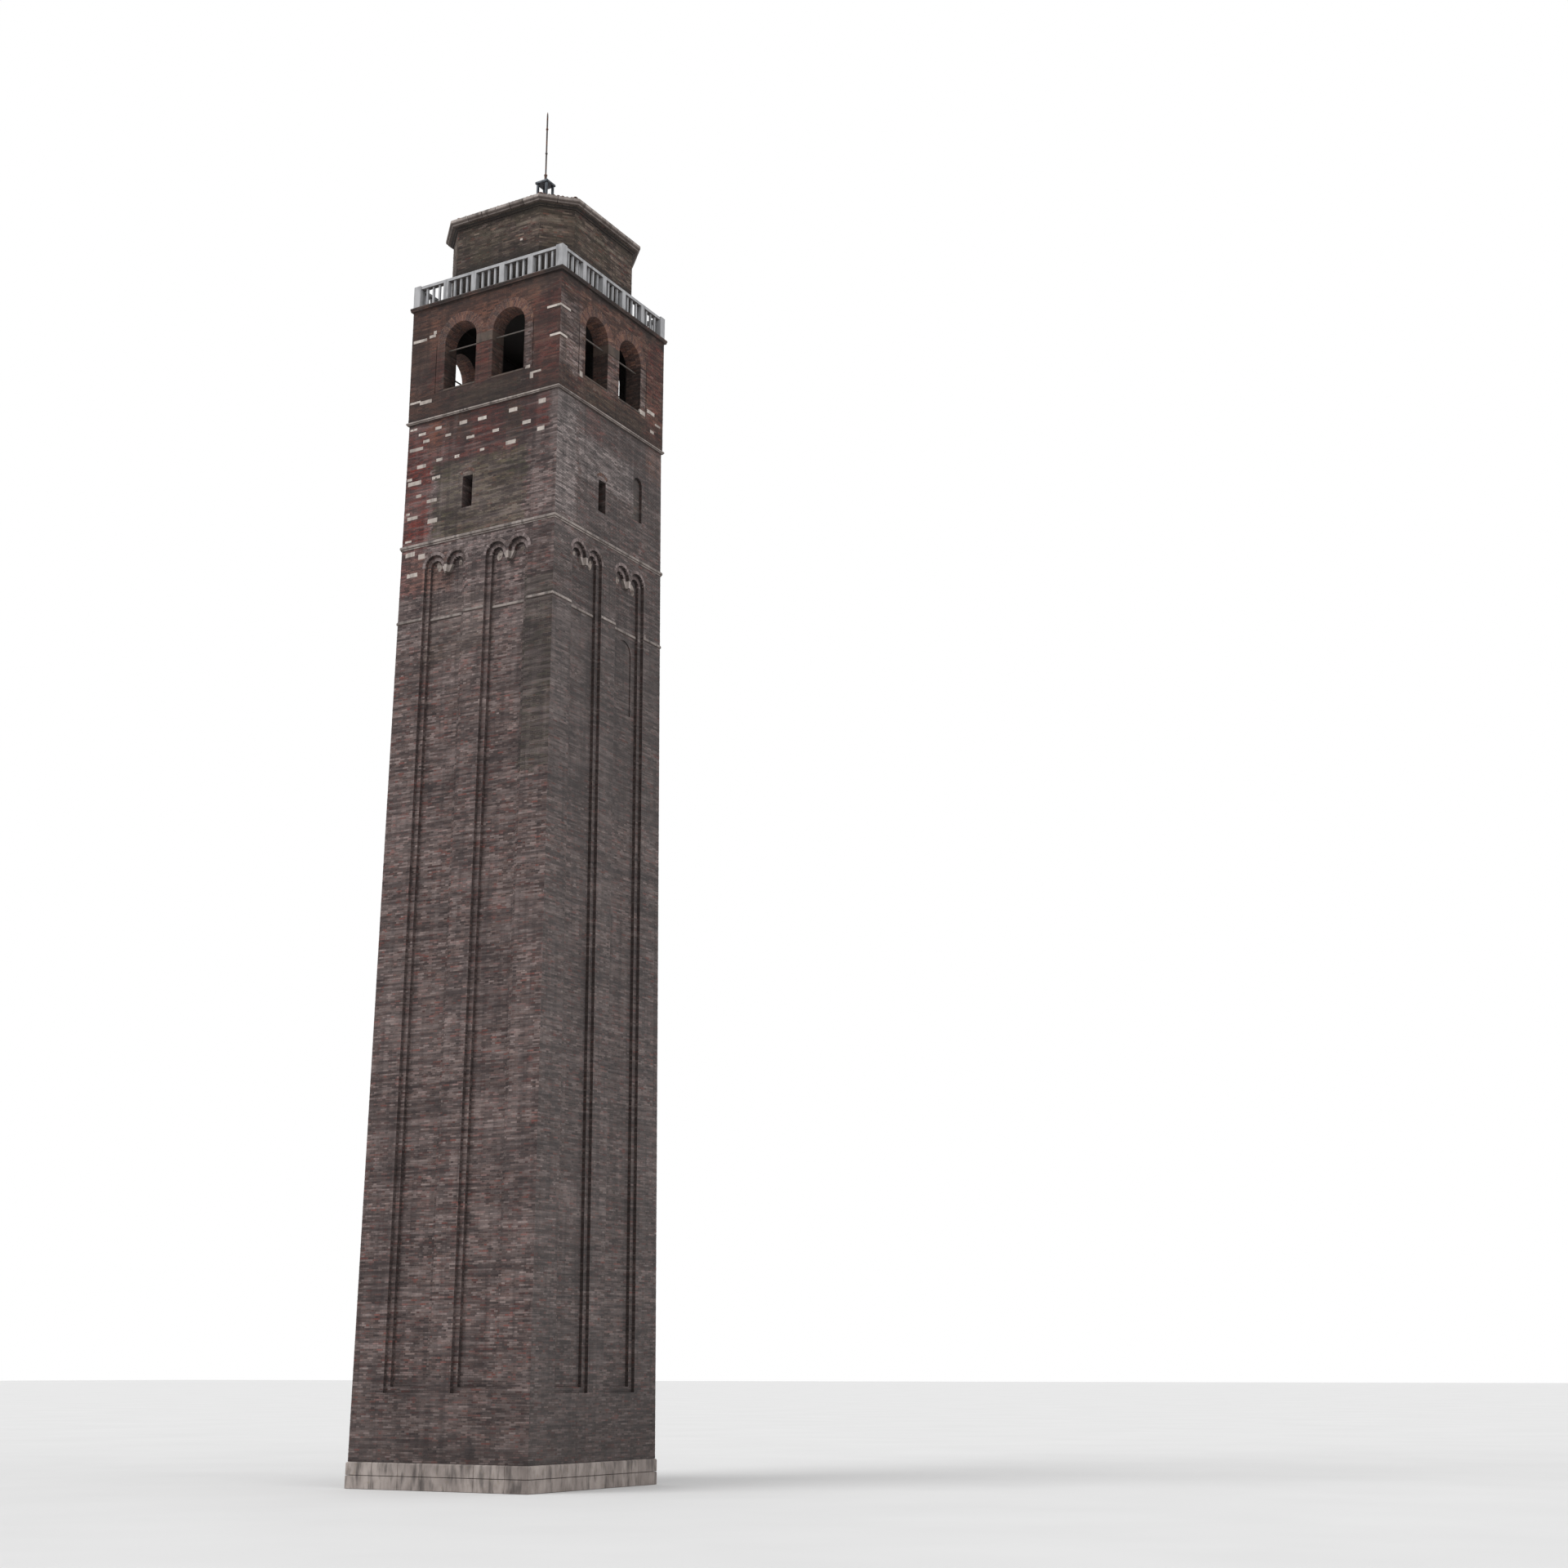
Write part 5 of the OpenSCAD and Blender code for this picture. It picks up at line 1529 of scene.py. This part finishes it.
class TOWER_OT_roof(bpy.types.Operator):
    """Lay the clay tiles of the low roof"""

    bl_idname = "tower.roof"
    bl_label = "Roof tiles"

    def execute(self, context):
        """Lays rows of cover tiles on the eight slopes, and ridge tiles on the hips."""
        sizes = context.scene.tower_sizes
        units, hips = Units(sizes.seed + 8), Units(sizes.seed + 9)
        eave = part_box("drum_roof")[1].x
        side = eave - DRUM_LEG - (2 - math.sqrt(2)) * (eave - DRUM_HALF)
        foot = CORNICE_TOP + 0.04
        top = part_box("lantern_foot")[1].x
        straight = (eave, side, top, top)
        cut = ((eave + side) / math.sqrt(2), (eave - side) / math.sqrt(2), top * math.sqrt(2), 0.0)
        for number in range(8):
            self.tile_slope(sizes, units, number * math.pi / 4, foot, *(straight, cut)[number % 2])
        for number in range(8):
            quarter = number // 2 * math.pi / 2
            turn = 1 if number % 2 else -1
            start = spot(quarter, turn * side, eave, foot)
            self.tile_hip(sizes, hips, start, spot(quarter, turn * top, top, ROOF_TOP))
        lay(context, "roof_tiles", units, tile_unit(), clay_tile, "clay_tile",
            shift=0.003, tilt=0.025)
        lay(context, "hip_tiles", hips, tile_unit(), clay_tile, "clay_tile", shift=0.002, tilt=0.02)
        return {"FINISHED"}

    def tile_slope(self, sizes, units, angle, foot, low, low_half, high, high_half):
        """Rows of tiles that overlap up one slope. It has a reach and a half width at both ends."""
        slope = math.atan2(ROOF_TOP - foot, low - high)
        length = math.hypot(ROOF_TOP - foot, low - high)
        step = 0.75 * sizes.tile_length
        size = (sizes.tile_width, sizes.tile_length, sizes.tile_width)
        for row in range(int(length / step)):
            travel = (row + 0.5) * step
            half = low_half + (high_half - low_half) * travel / length
            reach, z = low - travel * math.cos(slope), foot + travel * math.sin(slope) + 0.004
            count = int(half / sizes.tile_width)
            for column in range(-count, count + 1):
                middle = spot(angle, column * sizes.tile_width, reach, z)
                units.add(middle, (slope - 0.05, 0, angle), size)

    def tile_hip(self, sizes, units, start, stop):
        """Ridge tiles from the eaves up a hip."""
        step = 0.8 * sizes.tile_length
        course = stop - start
        level = math.hypot(course.x, course.y)
        turn = (math.atan2(course.z, level) - 0.03, 0, math.atan2(-course.x, course.y))
        size = (1.3 * sizes.tile_width, sizes.tile_length, 1.1 * sizes.tile_width)
        for i in range(int(course.length / step)):
            middle = start + course.normalized() * (i + 0.6) * step + Vector((0, 0, 0.02))
            units.add(middle, turn, size)


class TOWER_OT_lantern(bpy.types.Operator):
    """Build the roof lantern, its lead cap and the rod"""

    bl_idname = "tower.lantern"
    bl_label = "Lantern and rod"

    def execute(self, context):
        """Wears the stone and the lead, and turns the rod."""
        worn_node(context, "lantern_foot_stone", "lantern_foot", weathered_stone,
                  "weathered_stone", edge=0.006)
        worn_node(context, "lantern_lead_posts", "lantern_posts", sheet_lead, "sheet_lead")
        worn_node(context, "lantern_lead_cap", "lantern_cap", sheet_lead, "sheet_lead",
                  edge=0.006, wear=0.001)
        self.turn_rod(context)
        return {"FINISHED"}

    def turn_rod(self, context):
        """The rod in its socket, with two rings on it and a point."""
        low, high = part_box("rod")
        foot, top, socket, thin = low.z, high.z, high.x, ROD_R
        rings = [(socket, 0), (socket, 0.02), (socket * 0.8, 0.03), (socket * 0.8, 0.12),
                 (socket, 0.13), (socket, 0.15), (thin, 0.17)]
        rings = [(radius, foot + rise) for radius, rise in rings]
        for share in (0.4, 0.75):
            z = foot + share * (top - foot)
            rings += [(thin, z - 0.02), (thin * 1.5, z - 0.012), (thin * 1.5, z + 0.012),
                      (thin, z + 0.02)]
        rings += [(thin, top - 0.12), (thin * 0.8, top - 0.05), (0.002, top)]
        bm = bmesh.new()
        turns = [2 * math.pi * i / ROD_CORNERS for i in range(ROD_CORNERS)]
        circles = [[bm.verts.new((radius * math.cos(a), radius * math.sin(a), z)) for a in turns]
                   for radius, z in rings]
        for lower, upper in zip(circles, circles[1:]):
            for i in range(ROD_CORNERS):
                bm.faces.new((lower[i - 1], lower[i], upper[i], upper[i - 1]))
        bm.faces.new(circles[0])
        bm.faces.new(circles[-1])
        bmesh.ops.recalc_face_normals(bm, faces=bm.faces)
        mesh = mesh_from(bm, "forged_rod")
        mesh.shade_smooth()
        make(context, "forged_rod", mesh, wrought_iron, "wrought_iron", "rod")


class TOWER_OT_ironwork(bpy.types.Operator):
    """Wear the tie bars and the corner cramps"""

    bl_idname = "tower.ironwork"
    bl_label = "Tie bars and cramps"

    def execute(self, context):
        """Rounds the bars and the cramps."""
        worn_node(context, "forged_tie_bars", "tie_bars", limewashed_iron, "wrought_iron",
                  edge=0.003, wear=0.002)
        worn_node(context, "corner_cramp_stones", "corner_cramps", clean_stone, "weathered_stone",
                  edge=0.003)
        return {"FINISHED"}


class TOWER_OT_timberwork(bpy.types.Operator):
    """Nail the plank door and the bell chamber's floor"""

    bl_idname = "tower.timberwork"
    bl_label = "Door and floor boards"

    def execute(self, context):
        """Lays boards side by side, drives the nails and fits the door's iron."""
        back = FACES["back"]
        planks = boards("door_leaf", DOOR_PLANKS, back)
        blocks(context, "door_planks", planks, old_timber, "old_timber", "door_leaf",
               edge=0.003, wear=0.0008)
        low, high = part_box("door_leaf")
        face, rise = high.y, high.z - low.z
        width = (high.x - low.x) / DOOR_PLANKS
        nails = Units(3)
        iron = []
        for share in (0.18, 0.82):
            z = low.z + share * rise
            iron.append(((0, face + 0.003, z), back, (0.41, 0.008, 0.035)))
            self.drive(nails, planks, (0,), face + 0.007, z, (0.014, 0.014, 0.01))
        for share in (0.06, 0.34, 0.5, 0.66, 0.94):
            z = low.z + share * rise
            self.drive(nails, planks, (-width / 4, width / 4), face, z, (0.012, 0.012, 0.009))
        across, z = LOCK_ACROSS, (low.z + high.z) / 2 - LOCK_DROP
        iron.append(((across, face + 0.002, z), back, (0.03, 0.006, 0.09)))
        blocks(context, "strap_hinges_and_lock_plate", iron, wrought_iron, "wrought_iron",
               edge=0.0015, wear=0.0004)
        lay(context, "door_nails", nails, nail_unit(), wrought_iron, "wrought_iron",
            shift=0.0006, tilt=0.05)
        self.hang_ring(context, Vector((across, face + 0.007, z)))
        blocks(context, "bell_floor_boards", boards("belfry_floor", FLOOR_BOARDS, 0.0),
               old_timber, "old_timber", "belfry_floor", edge=0.003)
        return {"FINISHED"}

    def drive(self, nails, planks, offsets, y, z, size):
        """A row of nails: one for each plank and offset from the plank's middle."""
        for middle, _, _ in planks:
            for offset in offsets:
                nails.add((middle[0] + offset, y, z), (math.pi / 2, 0, 0), size)

    def hang_ring(self, context, middle):
        """The pull ring that hangs from the lock plate."""
        radius, thick = 0.03, 0.004
        bm = bmesh.new()
        circles = []
        for i in range(RING_CORNERS):
            a = 2 * math.pi * i / RING_CORNERS
            circle = []
            for j in range(WIRE_CORNERS):
                b = 2 * math.pi * j / WIRE_CORNERS
                r = radius + thick * math.cos(b)
                place = (r * math.cos(a), thick * math.sin(b) + 0.002, r * math.sin(a) - radius)
                circle.append(bm.verts.new(middle + Vector(place)))
            circles.append(circle)
        for i in range(RING_CORNERS):
            last, this = circles[i - 1], circles[i]
            for j in range(WIRE_CORNERS):
                bm.faces.new((last[j - 1], last[j], this[j], this[j - 1]))
        bmesh.ops.recalc_face_normals(bm, faces=bm.faces)
        mesh = mesh_from(bm, "pull_ring")
        mesh.shade_smooth()
        make(context, "pull_ring", mesh, wrought_iron, "wrought_iron")


class TOWER_OT_stage(bpy.types.Operator):
    """Set the floor, the light and the camera"""

    bl_idname = "tower.stage"
    bl_label = "Stage"

    def execute(self, context):
        """Lays a pale floor under soft light, and sets the camera low in front of a corner."""
        self.lay_floor(context)
        self.light(context)
        lens = bpy.data.cameras.new("camera")
        lens.lens = CAMERA_LENS_MM
        lens.sensor_width = CAMERA_SENSOR_MM
        lens.clip_end = VIEW_REACH
        camera = new_object(context, "camera", lens)
        camera.location = CAMERA_PLACE
        camera.rotation_euler = (math.radians(90 + CAMERA_PITCH), 0, math.radians(CAMERA_TURN))
        context.scene.camera = camera
        context.scene.view_settings.view_transform = "Standard"
        return {"FINISHED"}

    def lay_floor(self, context):
        """A pale floor, which isn't part of the tower."""
        mesh = bpy.data.meshes.new("floor")
        signs = ((-1, -1), (1, -1), (1, 1), (-1, 1))
        mesh.from_pydata([(x * FLOOR_REACH, y * FLOOR_REACH, 0) for x, y in signs], [],
                         [(0, 1, 2, 3)])
        floor = new_object(context, "floor", mesh)
        tree = begin("Pale floor")
        cloud = blotches(tree, (0.3, 0.3, 0.3), 0.3, 0.7)
        end(tree, layer(tree, rgba("#e6e6e6"), rgba("#e2e2e2"), cloud), cloud, 0.0005, 0.9)
        mesh.materials.append(bpy.data.materials["Pale floor"])

    def light(self, context):
        """A soft sky that looks white from the camera, and the lights."""
        world = bpy.data.worlds.new("Studio")
        context.scene.world = world
        world.use_nodes = True
        tree = world.node_tree
        tree.nodes.clear()
        path = add(tree, "ShaderNodeLightPath").outputs
        seen = calc(tree, "MAXIMUM", path["Is Camera Ray"], path["Is Glossy Ray"])
        seen = calc(tree, "MAXIMUM", seen, path["Is Transmission Ray"])
        soft, white = (add(tree, "ShaderNodeBackground",
                           {"Color": (1, 1, 1, 1), "Strength": strength})
                       for strength in (SKY_STRENGTH, 1.0))
        mixed = add(tree, "ShaderNodeMixShader", {0: seen, 1: soft, 2: white})
        add(tree, "ShaderNodeOutputWorld", {"Surface": mixed})
        for name, azimuth, height, strength, width in LIGHTS:
            light = bpy.data.lights.new(name, "SUN")
            light.energy = strength
            light.angle = math.radians(width)
            lamp = new_object(context, name, light)
            lamp.rotation_euler = (math.radians(90 - height), 0, math.radians(azimuth))


OPERATORS = (
    TOWER_OT_plain_masonry, TOWER_OT_shaft, TOWER_OT_pale_stones, TOWER_OT_bell_chamber,
    TOWER_OT_stonework, TOWER_OT_terrace, TOWER_OT_drum, TOWER_OT_roof, TOWER_OT_lantern,
    TOWER_OT_ironwork, TOWER_OT_timberwork, TOWER_OT_stage,
)


class TOWER_PT_panel(bpy.types.Panel):
    """Sizes, colours and steps of the bell tower"""

    bl_idname = "TOWER_PT_panel"
    bl_label = "Bell tower"
    bl_space_type = "VIEW_3D"
    bl_region_type = "UI"
    bl_category = "Tower"

    def draw(self, context):
        """Lists the sizes, the colours and the operators."""
        for group in (context.scene.tower_sizes, context.scene.tower_colours):
            for name in group.__annotations__:
                self.layout.prop(group, name)
        for operator in OPERATORS:
            self.layout.operator(operator.bl_idname)


CLASSES = (TowerSizes, TowerColours, *OPERATORS, TOWER_PT_panel)


def register():
    """Adds the classes and the tower's sizes and colours."""
    for item in CLASSES:
        bpy.utils.register_class(item)
    bpy.types.Scene.tower_sizes = PointerProperty(type=TowerSizes)
    bpy.types.Scene.tower_colours = PointerProperty(type=TowerColours)


def unregister():
    """Takes them away again."""
    del bpy.types.Scene.tower_colours
    del bpy.types.Scene.tower_sizes
    for item in reversed(CLASSES):
        bpy.utils.unregister_class(item)


def main():
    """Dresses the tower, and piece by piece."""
    register()
    for operator in OPERATORS:
        group, name = operator.bl_idname.split(".")
        getattr(getattr(bpy.ops, group), name)()


if __name__ == "__main__":
    main()
